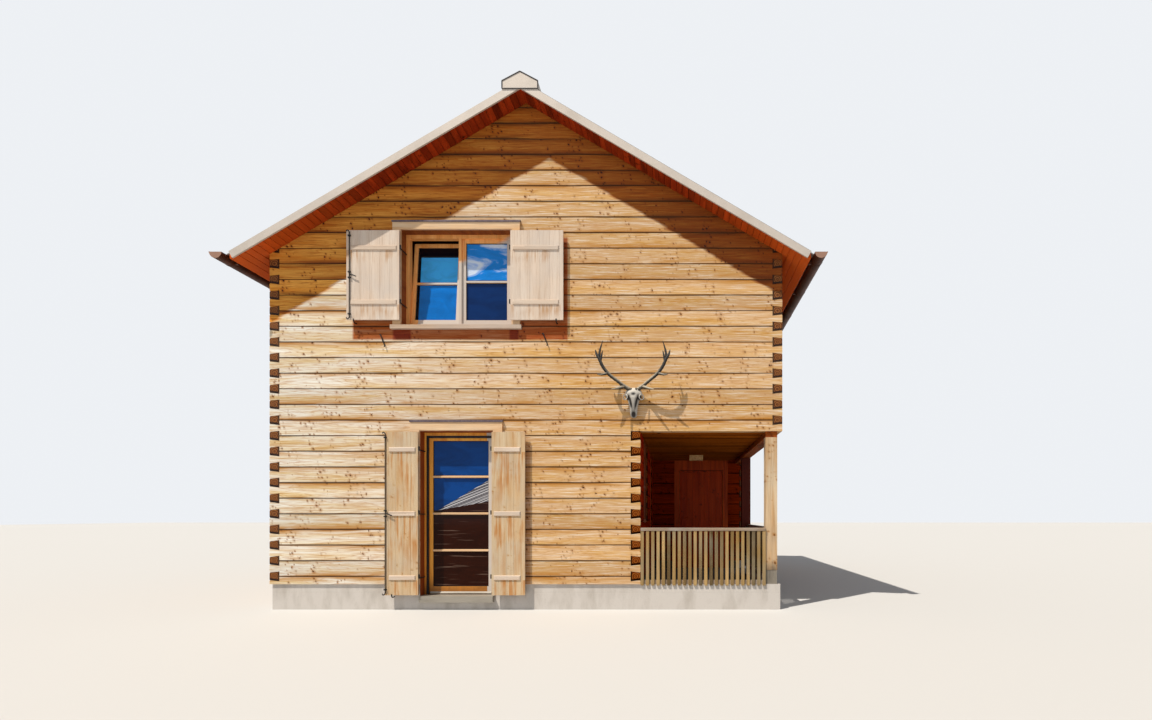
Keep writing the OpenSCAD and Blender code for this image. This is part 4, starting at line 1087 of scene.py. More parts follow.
# Stained and varnished joinery of the glazed door: satin orange, painted pale as sunlit on the
# side that the sun reaches, darker at the foot
JOINERY = Boards(
    "stained_joinery", pale="FBB44C", warm="E48F34", dark="7A3C10", rough=0.42,
    tone_span=0.12, painted_sun_z=ABOVE, painted_sun_x=-0.6, foot_z=0.42, foot="9A6228")
# The same on the window above: lighter gold, painted a pale grey as sunlit below the roof's shade
# line
WINDOW_JOINERY = Boards(
    "window_joinery", pale="FFBA70", warm="EE9C50", dark="8A4C1C", rough=0.42,
    tone_span=0.12, painted_sun_z=5.53)
# The same stain on the side windows, which face no sun: still as dark as it was brushed on
SIDE_JOINERY = Boards(
    "side_window_joinery", pale="9E4A1A", warm="78300E", dark="3A1206", rough=0.42,
    tone_span=0.12)
# Boards that line the openings between casing and frame: red-brown, out of the light
LINING = Boards(
    "window_lining_boards", pale="A25820", warm="7E3A10", dark="34140A", grain=Axis.Y)
# The same boards round the glazed door, upright and a little darker
DOOR_LINING = Boards(
    "door_lining_boards", pale="A84C10", warm="84360A", dark="341406", face=Axis.X)
# The door's right lining faces the sun: bleached to a pale grey, and paler as painted sunlight
SUNNY_LINING = Boards(
    "sunlit_bleached_lining", pale="D8CCC0", warm="C8B8A6", dark="8E7A64", face=Axis.X, weather=0.2)
# Glazing bars stand in the light: the same stain, bleached, and paler still as painted sunlight
BAR_WOOD = Boards(
    "sunlit_bleached_bars", pale="EECCA6", warm="E2B88A", dark="B88858", grain=Axis.X,
    rough=0.5)
# Oiled planks of the two plank doors: deep red-brown with a faint gloss
DOOR_WOOD = Boards(
    "door_planks", pale="CC480E", warm="A02C06", dark="2A0A02", halo="561A06",
    rough=0.5, knot_share=0.1, gloss=0.15)
# Beam over the post: the same oil as the logs, darker where no light falls
BEAM_WOOD = Boards(
    "porch_beam_spruce", pale="A4521A", warm="72300C", dark="2A0E04", grain=Axis.Y, face=Axis.X,
    knot_share=0.1, gloss=0.1)
# Frame and casing of the entrance: the same stain, a little lighter where the light grazes it
ENTRANCE_WOOD = Boards(
    "entrance_joinery", pale="C85014", warm="9A300A", dark="3A0E04", rough=0.5,
    gloss=0.15)
# Stained soffit boards: red-brown, each its own tone, more orange towards the eaves
SOFFIT_WOOD = Boards(
    "soffit_boards", pale="BC4216", warm="8A260C", dark="2A0C04", halo="5E1A06", grain=Axis.Y,
    face=Axis.Z, rough=0.6, tone_span=0.6, knot_share=0.3, gloss=0.1, glow="E86A22")
# Ceiling boards of the porch: honey brown turned dark, without gloss
CEILING_WOOD = Boards(
    "porch_ceiling_spruce", pale="B0601C", warm="86400E", dark="2C1204", grain=Axis.X,
    halo="3A1806", face=Axis.Z, rough=0.8, knot_share=0.2, tone_span=0.6, gloss=0.0)
# Planed and waxed floor boards: even mid brown with drawn joints
FLOOR_WOOD = Boards(
    "planed_floor_spruce", pale="B98A54", warm="97652F", dark="4A2C14", grain=Axis.Y, face=Axis.Z,
    pitch=0.14, across=Axis.X, rough=0.45, knot_share=0.5)
# Coated sheet of the roof: pale grey, dull, streaked down the slope
ROOF_SHEET = Coating(
    "roof_sheet_metal", base="A8A8A6", worn="82827E", metallic=0.35, rough=0.5,
    streak=(1.2, 9.0, 1.2))
# Folded seams, snow guards and flashings, which hold dirt: dark warm grey
SEAM_METAL = Coating("roof_seam_metal", base="6E6A68", worn="4A4646", metallic=0.5)
# Painted sheet of verges and ridge cap: warm off-white, dull
VERGE_METAL = Coating(
    "verge_sheet_metal", base="CEC4BA", worn="A89E92", metallic=0.1, rough=0.5,
    streak=(2.0, 2.0, 2.0))
# Lead over the casings: dull purple-grey with pale oxide
LEAD = Coating(
    "lead_strip", base="584C54", worn="8E8288", metallic=0.4, rough=0.6, streak=(40.0, 6.0, 6.0))
# Copper gutters gone brown, with dull purple streaks
COPPER = Coating(
    "weathered_copper", base="542A18", worn="220E08", metallic=0.6, rough=0.5,
    streak=(3.0, 8.0, 3.0), share=0.8)
# Turned edges of the sheets, seen from their cut side, and the ridge cap's edges, whose line at the
# foot also paints the cap's shade: near black
RIM_METAL = Coating("dark_edge_and_shade_line", base="2E2A2C", worn="171416", metallic=0.3)
# Rolled rims of the gutters, rubbed by snow: paler copper, which also paints the highlight along
# each rim
BEAD_COPPER = Coating(
    "rubbed_copper_and_highlight", base="A07A66", worn="6E4E3C", metallic=0.6, rough=0.4, streak=(3.0, 8.0, 3.0))
# Forged iron of hinges and stays, the seals' black rubber, and the black strip of painted shade
# round the glazed door: matt black
IRON = Coating(
    "forged_black_iron", base="141417", worn="2C2420", metallic=0.4, rough=0.55,
    streak=(30.0, 30.0, 30.0))
# Folded aluminium of the door's sill and weather bar: dull grey, scratched lengthwise
SILL_METAL = Coating(
    "folded_sill_metal", base="A39C90", worn="6E685E", metallic=0.1, rough=0.45,
    streak=(2.0, 14.0, 14.0))
# Cast concrete of the base, with painted shade inside the porch; of the porch's slab, dark all over
# as painted shade; and of the stones under the posts
PLINTH = Concrete("cast_concrete", skin="D2CCC6", stain="ACA49A", porch_x=1.5)
PORCH_SLAB = Concrete("porch_slab_painted_shade", skin="463A32", stain="2C241E")
BASE_STONE = Concrete("stone_block", skin="8C8478", stain="3E362C", lift=0.5)
# Panes: dark blue where sky is mirrored, nearly black where the room shows
GLASS = Glazing("window_glass")
WINDOW_GLASS = Glazing(
    "upper_window_glass", tints=("0A72CC", "3CAEFA", "052C64", "188AEC"), split_x=-0.983,
    split_z=4.76, cloud_share=0.85, dark_x=-1.612, dark_z=5.14)
DOOR_GLASS = Glazing(
    "door_glass", tints=("2C1006", "063E84", "2C1006", "063E84"), split_z=1.416, roof_x=-1.328,
    gleam=0.5)
# Boiled and bleached skull: grey-white; its antlers stay brown, nearly black towards their tops and
# in painted shade on their undersides
BONE = Bone("bleached_bone", pale="D2CDC4", dark="1A1410")
ANTLER = Bone("antler", pale="B4AA98", dark="0E0A07", grain_per_m=60.0)
# Moulded opal acrylic of the porch's lamp: milky amber
OPAL = OpalGlass("opal_shade")


def make(
    name: str,
    shape: Shape,
    finish: Finish,
    body: str = HOUSE,
    replaces: Sequence[str] = (),
    bevel: float = 0.0,
    smooth: bool = False,
) -> bpy.types.Object:
    """Turns a shape into a finished piece that rides on a body.

    Args:
        name: Name of the piece.
        shape: Its points and faces.
        finish: Its finish.
        body: CAD body that it moves with.
        replaces: CAD nodes that it stands for.
        bevel: Width of its rounded edges in metres.
        smooth: Whether its faces are shaded smooth.

    Returns:
        The new object.
    """
    mesh = bpy.data.meshes.new(name)
    rows = [row for faces in shape.faces for row in faces.tolist()]
    mesh.from_pydata(shape.points.tolist(), [], rows)
    tone = mesh.attributes.new("tone", "FLOAT", "POINT")
    tone.data.foreach_set("value", shape.tone.astype(np.float32))
    work = bmesh.new()
    work.from_mesh(mesh)
    bmesh.ops.recalc_face_normals(work, faces=work.faces)
    work.to_mesh(mesh)
    work.free()
    mesh.polygons.foreach_set("use_smooth", np.full(len(mesh.polygons), smooth))
    mesh.materials.append(finish.material())
    piece = bpy.data.objects.new(name, mesh)
    bpy.context.scene.collection.objects.link(piece)
    if bevel:
        edge = piece.modifiers.new("edges", "BEVEL")
        edge.width = bevel
        edge.segments = 1
        edge.limit_method = "ANGLE"
    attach(piece, body)
    if replaces:
        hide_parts(*replaces)
    log.info("%s: %d points", name, len(shape.points))
    return piece


def corners(node: str) -> np.ndarray:
    """Reads the points of a CAD node.

    Args:
        node: Name of the node.

    Returns:
        Places of its points, one row each.
    """
    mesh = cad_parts[node].data
    points = np.empty(len(mesh.vertices) * 3)
    mesh.vertices.foreach_get("co", points)
    return points.reshape(-1, 3)


def mirror_x(shape: Shape, middle: float = 0.0) -> Shape:
    """Returns the shape mirrored in the plane x = middle."""
    return Shape(shape.points * (-1, 1, 1) + (2 * middle, 0, 0), shape.faces, shape.tone)


# Sub-assemblies

@dataclass
class LogHouse:
    """Log walls, floors and base, which CAD shapes and this class dresses."""

    front: tuple[str, ...] = ("front_wall_left", "front_wall_middle", "front_wall_band",
                              "front_wall_upper_left", "front_wall_upper_right", "front_gable")
    sides: tuple[str, ...] = ("left_wall", "right_wall_lower", "right_wall_upper")
    porch_side: tuple[str, ...] = ("porch_wall_sill", "porch_wall_front", "porch_wall_middle",
                                   "porch_wall_back")

    def build(self) -> None:
        """Dresses the walls, the floors and the base."""
        FRONT_LOGS.dress(*self.front)
        SIDE_LOGS.dress(*self.sides)
        BACK_LOGS.dress("back_wall")
        PORCH_SIDE_LOGS.dress(*self.porch_side)
        PORCH_BACK_LOGS.dress("porch_back_left", "porch_back_right")
        PLINTH.dress("foundation", "plinth_walls")
        PORCH_SLAB.dress("porch_floor")
        FLOOR_WOOD.dress("ground_floor", "upper_floor")
        log.info("log house dressed")


@dataclass
class Roof:
    """Roof cladding of seamed sheets, soffit boards, flashings and gutters.

    Attributes:
        pitch: Pitch in degrees.
        seam_pitch, seam_w, seam_h: Distance between standing seams, their width and height.
        lap_h, rows: Thickness of a sheet's lower edge, and rows of sheets down a slope.
        board_w, board_t, gap: Width and thickness of a soffit board, and gap to the next.
        verge_w, verge_rise: Width and height of the raised flashing at the verge.
        wall_x, wall_y: Distances of the side walls' and gables' faces from the middle.
        cap_half: Half the width that the ridge cap covers.
        guard_in: Distance of the lowest snow guards from the eave.
        rim, rim_drop: Thickness of the verge's folded edge to each side, and its reach down.
        gutter_r, gutter_in: Radius of a gutter, and distance of its rim from its box's end.
        bead_r, plate_t: Radius of a gutter's bead, and half the thickness of its end plate.
    """

    pitch: float = 30.5
    seam_pitch: float = 0.6
    seam_w: float = 0.014
    seam_h: float = 0.028
    lap_h: float = 0.006
    rows: int = 3
    board_w: float = 0.096
    board_t: float = 0.016
    gap: float = 0.004
    verge_w: float = 0.13
    verge_rise: float = 0.02
    wall_x: float = 3.65
    wall_y: float = 4.2
    cap_half: float = 0.27
    guard_in: float = 0.16
    rim: float = 0.006
    rim_drop: float = 0.014
    gutter_r: float = 0.084
    gutter_in: float = 0.004
    bead_r: float = 0.009
    plate_t: float = 0.003

    def build(self) -> None:
        """Builds and dresses all of the roof."""
        sheets_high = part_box("roof_sheets")[1]
        deck_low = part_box("roof_deck_left")[0]
        turn = math.radians(self.pitch)
        self.cos, self.sin = math.cos(turn), math.sin(turn)
        self.top_z = sheets_high.z
        self.length = sheets_high.x / self.cos
        self.end_y = sheets_high.y
        self.eave_x = -deck_low.x
        self.under_z = deck_low.z + self.eave_x * math.tan(turn)
        self.make_sheets()
        self.make_soffits()
        self.make_cap_edges()
        self.make_gutter_beads()
        SOFFIT_WOOD.dress("roof_deck_left", "roof_deck_right")
        ROOF_SHEET.dress("roof_sheets")
        VERGE_METAL.dress("ridge_cap", "verges")
        COPPER.dress("gutters")

    def on_slope(self, shape: Shape, start_z: float, right: bool) -> Shape:
        """Lays a shape drawn as (down the slope, along the ridge, above) on one slope.

        Args:
            shape: Shape in the slope's own directions.
            start_z: Height of the slope's plane at the ridge line.
            right: Whether it goes on the right slope.

        Returns:
            The shape in its place.
        """
        turn = np.array([[self.cos, 0, -self.sin], [0, 1, 0], [self.sin, 0, self.cos]])
        laid = shape.moved(turn, (0, 0, start_z))
        return laid if right else mirror_x(laid)

    def both(self, shape: Shape, start_z: float) -> Shape:
        """Returns a shape laid on both slopes."""
        return joined([self.on_slope(shape, start_z, right) for right in (False, True)])

    def make_sheets(self) -> None:
        """Builds sheets, standing seams, snow guards and raised verge flashings."""
        first = self.cap_half / self.cos
        inner = self.end_y - self.verge_w
        bays = max(1, round(2 * inner / self.seam_pitch))
        lines = np.linspace(-inner, inner, bays + 1)
        ends = np.linspace(first, self.length, self.rows + 1)
        row, bay = (a.ravel() for a in np.meshgrid(np.arange(self.rows), np.arange(bays),
                                                   indexing="ij"))
        half = self.seam_w / 2
        sheets = boxes(columns(ends[row], lines[bay] + half, 0),
                       columns(ends[row + 1], lines[bay + 1] - half, self.lap_h))
        lifted = sheets.points.copy()
        upper = np.isin(lifted[:, 0], ends[:-1]) & (lifted[:, 2] > 0)
        lifted[upper, 2] = 0.001
        sheets = Shape(lifted, sheets.faces, sheets.tone)
        make("roof_sheet_panels", self.both(sheets, self.top_z), ROOF_SHEET)
        seams = boxes(columns(first, lines - half, 0),
                      columns(self.length, lines + half, self.seam_h))
        make("roof_seams", self.both(seams, self.top_z), SEAM_METAL)
        guards = [self.guard_row(lines, place)
                  for place in (*ends[1:-1], self.length - self.guard_in)]
        make("snow_guards", self.both(joined(guards), self.top_z), SEAM_METAL,
             bevel=0.002)
        flashings = [boxes(spots((first, s * self.end_y if s < 0 else inner, 0)),
                           spots((self.eave_x / self.cos, -inner if s < 0 else self.end_y,
                                  self.verge_rise))) for s in (-1, 1)]
        make("verge_flashings", self.both(joined(flashings), self.top_z), SEAM_METAL,
             bevel=0.006)
        rims = [boxes(spots((first, s * self.end_y - self.rim, -self.rim_drop)),
                      spots((self.eave_x / self.cos, s * self.end_y + self.rim, self.rim)))
                for s in (-1, 1)]
        make("verge_rims", self.both(joined(rims), self.top_z), RIM_METAL)

    def make_cap_edges(self) -> None:
        """Builds near-black folded edges round both ends of the ridge cap and along its foot, where
        the dark line also paints the cap's shade on the roof.
        """
        points = np.unique(corners("ridge_cap").round(5), axis=0)
        side = points[np.abs(points[:, 0]) > points[:, 0].max() - 0.001]
        half, peak, edge = points[:, 0].max(), points[:, 2].max(), side[:, 2].max()
        foot = side[:, 2].min() + 0.02
        ring = spots((-half, foot), (-half, edge), (0, peak), (half, edge), (half, foot),
                     (-half, foot))
        parts = []
        for y in (points[:, 1].min(), points[:, 1].max()):
            loop = np.insert(ring, 1, y, axis=1)
            parts += [tube(np.linspace(a, b, 3), 0.008, 6) for a, b in zip(loop, loop[1:])]
        ends = (points[:, 1].min(), points[:, 1].max())
        parts += [tube(np.linspace((x, ends[0], foot), (x, ends[1], foot), 3), 0.006, 6)
                  for x in (-half, half)]
        make("cap_edges", joined(parts), RIM_METAL)

    def make_gutter_beads(self) -> None:
        """Builds the rolled bead along each gutter's outer rim and the plates at its ends."""
        low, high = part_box("gutters")
        radius = self.gutter_r
        middle = high.x - radius - self.gutter_in
        rim_z = high.z - 0.004
        bead = tube(np.linspace((middle + radius, low.y, rim_z),
                                (middle + radius, high.y, rim_z), 3), self.bead_r, 8)
        angle = np.linspace(math.pi, 2 * math.pi, 15)
        half = columns(middle + radius * np.cos(angle), high.z + radius * np.sin(angle))
        plates = [prism(half, Axis.Y, y - self.plate_t, y + self.plate_t) for y in (low.y, high.y)]
        one = joined([bead, *plates])
        make("gutter_beads", joined([one, mirror_x(one)]), BEAD_COPPER)

    def guard_row(self, lines: np.ndarray, place: float) -> Shape:
        """Builds one row of snow guards: a rail in each bay, clamped to the seams.

        Args:
            lines: Places of the seams along the ridge.
            place: Place of the row down the slope.

        Returns:
            The row in the slope's own directions.
        """
        rail = boxes(columns(place - 0.03, lines[:-1] + 0.05, 0.012),
                     columns(place, lines[1:] - 0.05, 0.05))
        clamp = boxes(columns(place - 0.04, lines - 0.02, 0),
                      columns(place + 0.02, lines + 0.02, 0.042))
        return joined([rail, clamp])

    def make_soffits(self) -> None:
        """Builds the boards under the overhangs; beside the walls they run the whole length."""
        eave = self.eave_x / self.cos
        count = int(eave / self.board_w)
        start = np.arange(count) * self.board_w
        stop = np.append(start[1:] - self.gap, eave - 0.002)
        verge = self.end_y
        wall = self.wall_x / self.cos + 0.02
        outside = start > wall
        parts = []
        for low_y, high_y, picked in ((-verge, -self.wall_y - 0.001, ~outside),
                                      (self.wall_y + 0.001, verge, ~outside),
                                      (-verge, verge, outside)):
            lows = columns(start, low_y, -self.board_t)[picked]
            highs = columns(stop, high_y, -0.0005)[picked]
            parts.append(boxes(lows, highs, first_tone=float(np.argmax(picked))))
        make("soffit_planks", self.both(joined(parts), self.under_z), SOFFIT_WOOD,
             bevel=0.004)


@dataclass
class Shutter:
    """One boarded shutter with battens, strap hinges and, on the left ones, a locking rod.

    Attributes:
        name, body: Name that its pieces start with, and body that it rides on.
        hinge_x, hinge_y: Place of the hinge axis across and in depth.
        width: Reach of the boards from the hinge axis.
        low, high: Heights of its lower and upper end.
        battens, planks: Number of battens and of boards.
        right: Whether it opens to the right.
        wood: Finish of the boards.
        rod_in, rod_r: Distance of the rod from the outer edge, and its radius.
        eye: Distance from the hinge axis to the boards.
        thick, joint: Thickness of the boards, and width of the joint between them.
        batten_t, batten_h: Thickness and height of a batten.
        margin: Distance of the battens from the upper and lower end.
        outer_end, inner_end: Distance of a batten's ends from the outer and the hinge edge.
        slant: How far a batten's ends slant inwards.
    """

    name: str
    body: str
    hinge_x: float
    hinge_y: float
    width: float
    low: float
    high: float
    battens: int
    planks: int
    right: bool
    wood: Finish
    rod_in: float = 0.048
    eye: float = 0.012
    thick: float = 0.026
    batten_t: float = 0.014
    batten_h: float = 0.066
    margin: float = 0.215
    outer_end: float = 0.059
    inner_end: float = 0.030
    slant: float = 0.012
    joint: float = 0.0012
    rod_r: float = 0.0065

    def placed(self, shape: Shape) -> Shape:
        """Moves a shape drawn to the left of its hinge to its place."""
        if self.right:
            shape = mirror_x(shape)
        return shape.moved(np.eye(3), (self.hinge_x, self.hinge_y, 0))

    def build(self, replaces: Sequence[str] = ()) -> None:
        """Builds the shutter's boards, battens and iron.

        Args:
            replaces: CAD nodes that the boards stand for.
        """
        strip = -self.width + self.outer_end - 0.004
        edges = np.append(-self.width, np.linspace(strip, -self.eye, self.planks + 1))
        low = columns(edges[:-1], -self.thick / 2, self.low)
        high = columns(edges[1:] - self.joint, self.thick / 2, self.high)
        high[-1, 0] = -self.eye
        first_tone = 10 * len(self.name) + 40 * self.right + self.battens
        make(self.name + "_planks", self.placed(boxes(low, high, first_tone)), self.wood,
             self.body, replaces, bevel=0.001)
        heights = np.linspace(self.low + self.margin, self.high - self.margin - self.batten_h,
                              self.battens)
        make(self.name + "_battens", self.placed(self.batten_set(heights)), BATTEN_WOOD,
             self.body, bevel=0.002)
        make(self.name + "_iron", self.placed(self.iron(heights)), IRON, self.body)

    def batten_set(self, heights: np.ndarray) -> Shape:
        """Builds battens with a sloped upper edge and slanted ends: a profile along x.

        Args:
            heights: Heights of their lower edges.

        Returns:
            The battens, to the left of the hinge.
        """
        back, front = -self.thick / 2, -self.thick / 2 - self.batten_t
        profile = spots((back, 0), (front, 0.003), (front, self.batten_h - 0.008),
                        (back, self.batten_h))
        ends = (-self.width + self.outer_end, -self.eye - self.inner_end)
        bars = joined([prism(profile + (0, z), Axis.X, *ends, tone=i + 3.0)
                       for i, z in enumerate(heights)])
        near = bars.points[:, 1] < (back + front) / 2
        inwards = np.where(bars.points[:, 0] < sum(ends) / 2, self.slant, -self.slant)
        bars.points[:, 0] += near * inwards
        return bars

    def iron(self, heights: np.ndarray) -> Shape:
        """Builds a strap, a barrel and an eye at each batten, and the left shutters' rod.

        Args:
            heights: Heights of the battens' lower edges.

        Returns:
            The iron, to the left of the hinge.
        """
        back = self.thick / 2
        middle = heights + self.batten_h / 2
        parts = [boxes(columns(-0.30, back, middle + 0.006),
                       columns(-0.004, back + 0.004, middle + 0.04))]
        parts += [tube(spots((0, 0, z), (0, 0, z + 0.022), (0, 0, z + 0.045)), 0.009)
                  for z in middle]
        parts.append(boxes(columns(-self.eye, -0.0045, middle),
                           columns(0, 0.0045, middle + 0.045)))
        if not self.right:
            parts.append(self.rod())
        return joined(parts)

    def rod(self) -> Shape:
        """Builds the locking rod on the outer face, with guides, hooks and a handle.

        Returns:
            The rod, to the left of the hinge.
        """
        x, y = -self.width + self.rod_in, -self.thick / 2 - 0.012
        z0, z1 = self.low + 0.03, self.high - 0.03
        grip = self.low + 0.5 * (self.high - self.low)
        parts = [tube(np.linspace((x, y, z0), (x, y, z1), 5), self.rod_r)]
        for z in (z0 + 0.05, z1 - 0.05, grip - 0.04, grip + 0.04):
            parts.append(boxes(spots((x - 0.018, y - 0.010, z - 0.009)),
                               spots((x + 0.018, -self.thick / 2, z + 0.009))))
        for z, rise in ((z0, -0.025), (z1, 0.025)):
            parts.append(tube(eased(((x, y, z - rise), (x, y, z), (x - 0.022, y - 0.006, z + rise),
                                     (x - 0.036, y - 0.010, z + 0.2 * rise)), 4), 0.007))
        parts.append(tube(eased(((x, y, grip), (x + 0.04, y - 0.016, grip - 0.004),
                                 (x + 0.10, y - 0.016, grip - 0.03)), 5), 0.0075))
        return joined(parts)


@dataclass
class FrontOpenings:
    """Upper window and glazed door with their boards, sills, hinges and shutters.

    Attributes:
        hinge_in, hinge_out: Distance of the hinge axes from the frame's sides and the wall.
        casing_rise: Distance of the upper casing from the door's frame.
        gap_shade_w, gap_shade_out: Width of the black strip of painted shade that stands for the
            gap round the door, and how far it stands out.
    """

    wall_y: float = -4.2
    hinge_in: float = 0.016
    hinge_out: float = 0.068
    casing_t: float = 0.034
    casing_rise: float = 0.008
    door_casing_w: float = 0.13
    lining_t: float = 0.007
    gap_shade_w: float = 0.034
    gap_shade_out: float = 0.004
    pane_seal_w: float = 0.007

    def build(self) -> None:
        """Dresses the CAD frames and builds shutters, flashings, beads and iron."""
        WINDOW_JOINERY.dress("upper_window_frame", "upper_window_sashes")
        JOINERY.dress("french_frame", "french_door")
        WINDOW_GLASS.dress("upper_window_glass")
        DOOR_GLASS.dress("french_glass")
        TRIM_WOOD.dress("lintels", "casing_boards")
        SILL_WOOD.dress("window_sill")
        SILL_METAL.dress("french_sill")
        IRON.dress("shutter_pintles")
        self.make_shutters()
        self.make_flashings()
        self.make_beads()
        self.make_linings()
        self.make_gap_shade()
        self.make_hooks()

    def make_shutters(self) -> None:
        """Builds the four shutters round the hinges of the CAD model."""
        door_low, door_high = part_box("french_frame")
        window_low, window_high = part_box("upper_window_frame")
        inset = self.hinge_in
        for right in (False, True):
            side = "right" if right else "left"
            low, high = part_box("shutter_" + side)
            axis = (door_high.x - inset) if right else (door_low.x + inset)
            reach = (high.x - axis) if right else (axis - low.x)
            y = self.wall_y - self.hinge_out
            Shutter("shutter_" + side, "shutter_" + side, axis, y, reach, low.z, high.z, 3, 4,
                    right, DOOR_SHUTTER_WOOD, 0.014).build(("shutter_" + side,))
            low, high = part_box("upper_shutters")
            axis = (window_high.x - inset) if right else (window_low.x + inset)
            reach = (high.x - axis) if right else (axis - low.x)
            Shutter("upper_shutter_" + side, HOUSE, axis, y, reach, low.z, high.z, 2, 5,
                    right, SHUTTER_WOOD).build(("upper_shutters",))

    def make_flashings(self) -> None:
        """Builds lead strips over the casings, each with a lip turned down in front."""
        low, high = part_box("lintels")
        door_low, door_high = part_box("french_frame")
        top = door_high.z + self.casing_rise + self.door_casing_w
        reach = (door_high.x - door_low.x) / 2 + self.door_casing_w
        middle = (low.x + high.x) / 2
        front = self.wall_y - self.casing_t
        profile = spots((self.wall_y, 0.022), (front - 0.010, 0.008), (front - 0.010, -0.016),
                        (front - 0.001, -0.016), (front - 0.001, 0.001), (self.wall_y, 0.001))
        strips = [prism(profile + (0, z), Axis.X, middle - half, middle + half)
                  for z, half in ((high.z, (high.x - low.x) / 2 + 0.008), (top, reach + 0.008))]
        make("casing_flashings", joined(strips), LEAD)

    def make_beads(self) -> None:
        """Builds dark seals round the panes, pale glazing bars and the door's weather bar."""
        middle = sum(c.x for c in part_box("upper_window_glass")) / 2
        panes = self.panes("upper_window_glass", middle)
        doors = self.panes("french_glass", -BEYOND)
        make("window_seals", self.seals(panes), IRON)
        make("door_seals", self.seals(doors), IRON, "french_door")
        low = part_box("french_door")[0]
        front = corners("french_door")[:, 1].min()
        make("window_bars", self.bars(panes, 0.022), BAR_WOOD)
        make("door_bars", self.bars(doors, doors[0][0][1] - front + 0.003), BAR_WOOD,
             "french_door")
        bar = prism(spots((front, low.z + 0.012), (front - 0.012, low.z + 0.006),
                          (front - 0.012, low.z + 0.012), (front, low.z + 0.034)), Axis.X,
                    doors[0][0][0] - 0.04, doors[0][1][0] + 0.04)
        make("door_weather_bar", bar, SILL_METAL, "french_door")

    def panes(self, node: str, middle: float) -> list[np.ndarray]:
        """Finds the outer faces of a node's panes, some of which may lean.

        Args:
            node: CAD node of the glass.
            middle: Place between its left and right panes.

        Returns:
            For each pane its lower left, lower right and upper left corner.
        """
        points = np.unique(corners(node).round(5), axis=0)
        found = []
        for side in (points[:, 0] < middle, points[:, 0] > middle):
            group = points[side]
            group = group[np.argsort(group[:, 2])].reshape(-1, 8, 3)
            for pane in group:
                low, high = (half[np.argsort(half[:, 1])][:2] for half in (pane[:4], pane[4:]))
                low, high = (half[np.argsort(half[:, 0])] for half in (low, high))
                found.append(np.array([low[0], low[1], high[0]]))
        return found

    def laid(self, shape: Shape, pane: np.ndarray) -> Shape:
        """Lays a shape drawn as (across, behind, up) on the face of a pane.

        Args:
            shape: Shape drawn from the pane's lower left corner.
            pane: Lower left, lower right and upper left corner of the pane.

        Returns:
            The shape in its place.
        """
        up = pane[2] - pane[0]
        up /= np.linalg.norm(up)
        return shape.moved(np.array([(1, 0, 0), (0, up[2], -up[1]), up]), pane[0])

    def seals(self, panes: Sequence[np.ndarray]) -> Shape:
        """Builds thin seals round panes.

        Args:
            panes: Corners of the panes.

        Returns:
            All seals as one shape.
        """
        width = self.pane_seal_w
        parts = []
        for pane in panes:
            w, h = (np.linalg.norm(pane[k] - pane[0]) for k in (1, 2))
            lows = spots((0, -0.006, 0), (w - width, -0.006, 0), (width, -0.006, 0),
                         (width, -0.006, h - width))
            highs = spots((width, 0, h), (w, 0, h), (w - width, 0, width), (w - width, 0, h))
            parts.append(self.laid(boxes(lows, highs), pane))
        return joined(parts)

    def bars(self, panes: Sequence[np.ndarray], out: float) -> Shape:
        """Builds bars with sloped sides over the gaps between a pane and the one above.

        Args:
            panes: Corners of the panes.
            out: How far the bars stand out from the glass.

        Returns:
            All bars as one shape.
        """
        parts = []
        for lower, upper in zip(panes, panes[1:]):
            if abs(lower[0][0] - upper[0][0]) > 0.01:
                continue
            h = np.linalg.norm(lower[2] - lower[0])
            gap = np.linalg.norm(upper[0] - lower[2])
            w = lower[1][0] - lower[0][0]
            profile = spots((-0.004, h - 0.004), (-out, h + 0.003), (-out, h + gap - 0.003),
                            (-0.004, h + gap + 0.004))
            parts.append(self.laid(prism(profile, Axis.X, 0, w, tone=len(parts)), lower))
        return joined(parts)

    def make_linings(self) -> None:
        """Builds thin boards that line both openings, from the wall's face to the frame."""
        thick = self.lining_t
        for node, finish, sunny in (("upper_window_frame", LINING, LINING),
                                    ("french_frame", DOOR_LINING, SUNNY_LINING)):
            points = corners(node)
            low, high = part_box(node)
            front = points[points[:, 2] < low.z + 0.001][:, 1].min()
            lows = spots((low.x, self.wall_y, low.z), (low.x + thick, self.wall_y, high.z - thick))
            highs = spots((low.x + thick, front, high.z), (high.x - thick, front, high.z))
            make(node + "_lining", boxes(lows, highs), finish)
            right = boxes(spots((high.x - thick, self.wall_y, low.z)),
                          spots((high.x, front, high.z)))
            make(node + "_right_lining", right, sunny)

    def make_gap_shade(self) -> None:
        """Builds a black strip of painted shade that stands for the shadowed gap between the glazed
        door and its frame.
        """
        low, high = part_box("french_door")
        frame_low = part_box("french_frame")[0].z
        points = corners("french_frame")
        front = points[points[:, 2] < frame_low + 0.001][:, 1].min()
        out, over = self.gap_shade_out, self.gap_shade_w / 2
        lows = spots((low.x - over, front - out, low.z), (low.x + over, front - out, high.z - over))
        highs = spots((low.x + over, front, high.z + over), (high.x, front, high.z + over))
        make("door_gap_shade", boxes(lows, highs), IRON)

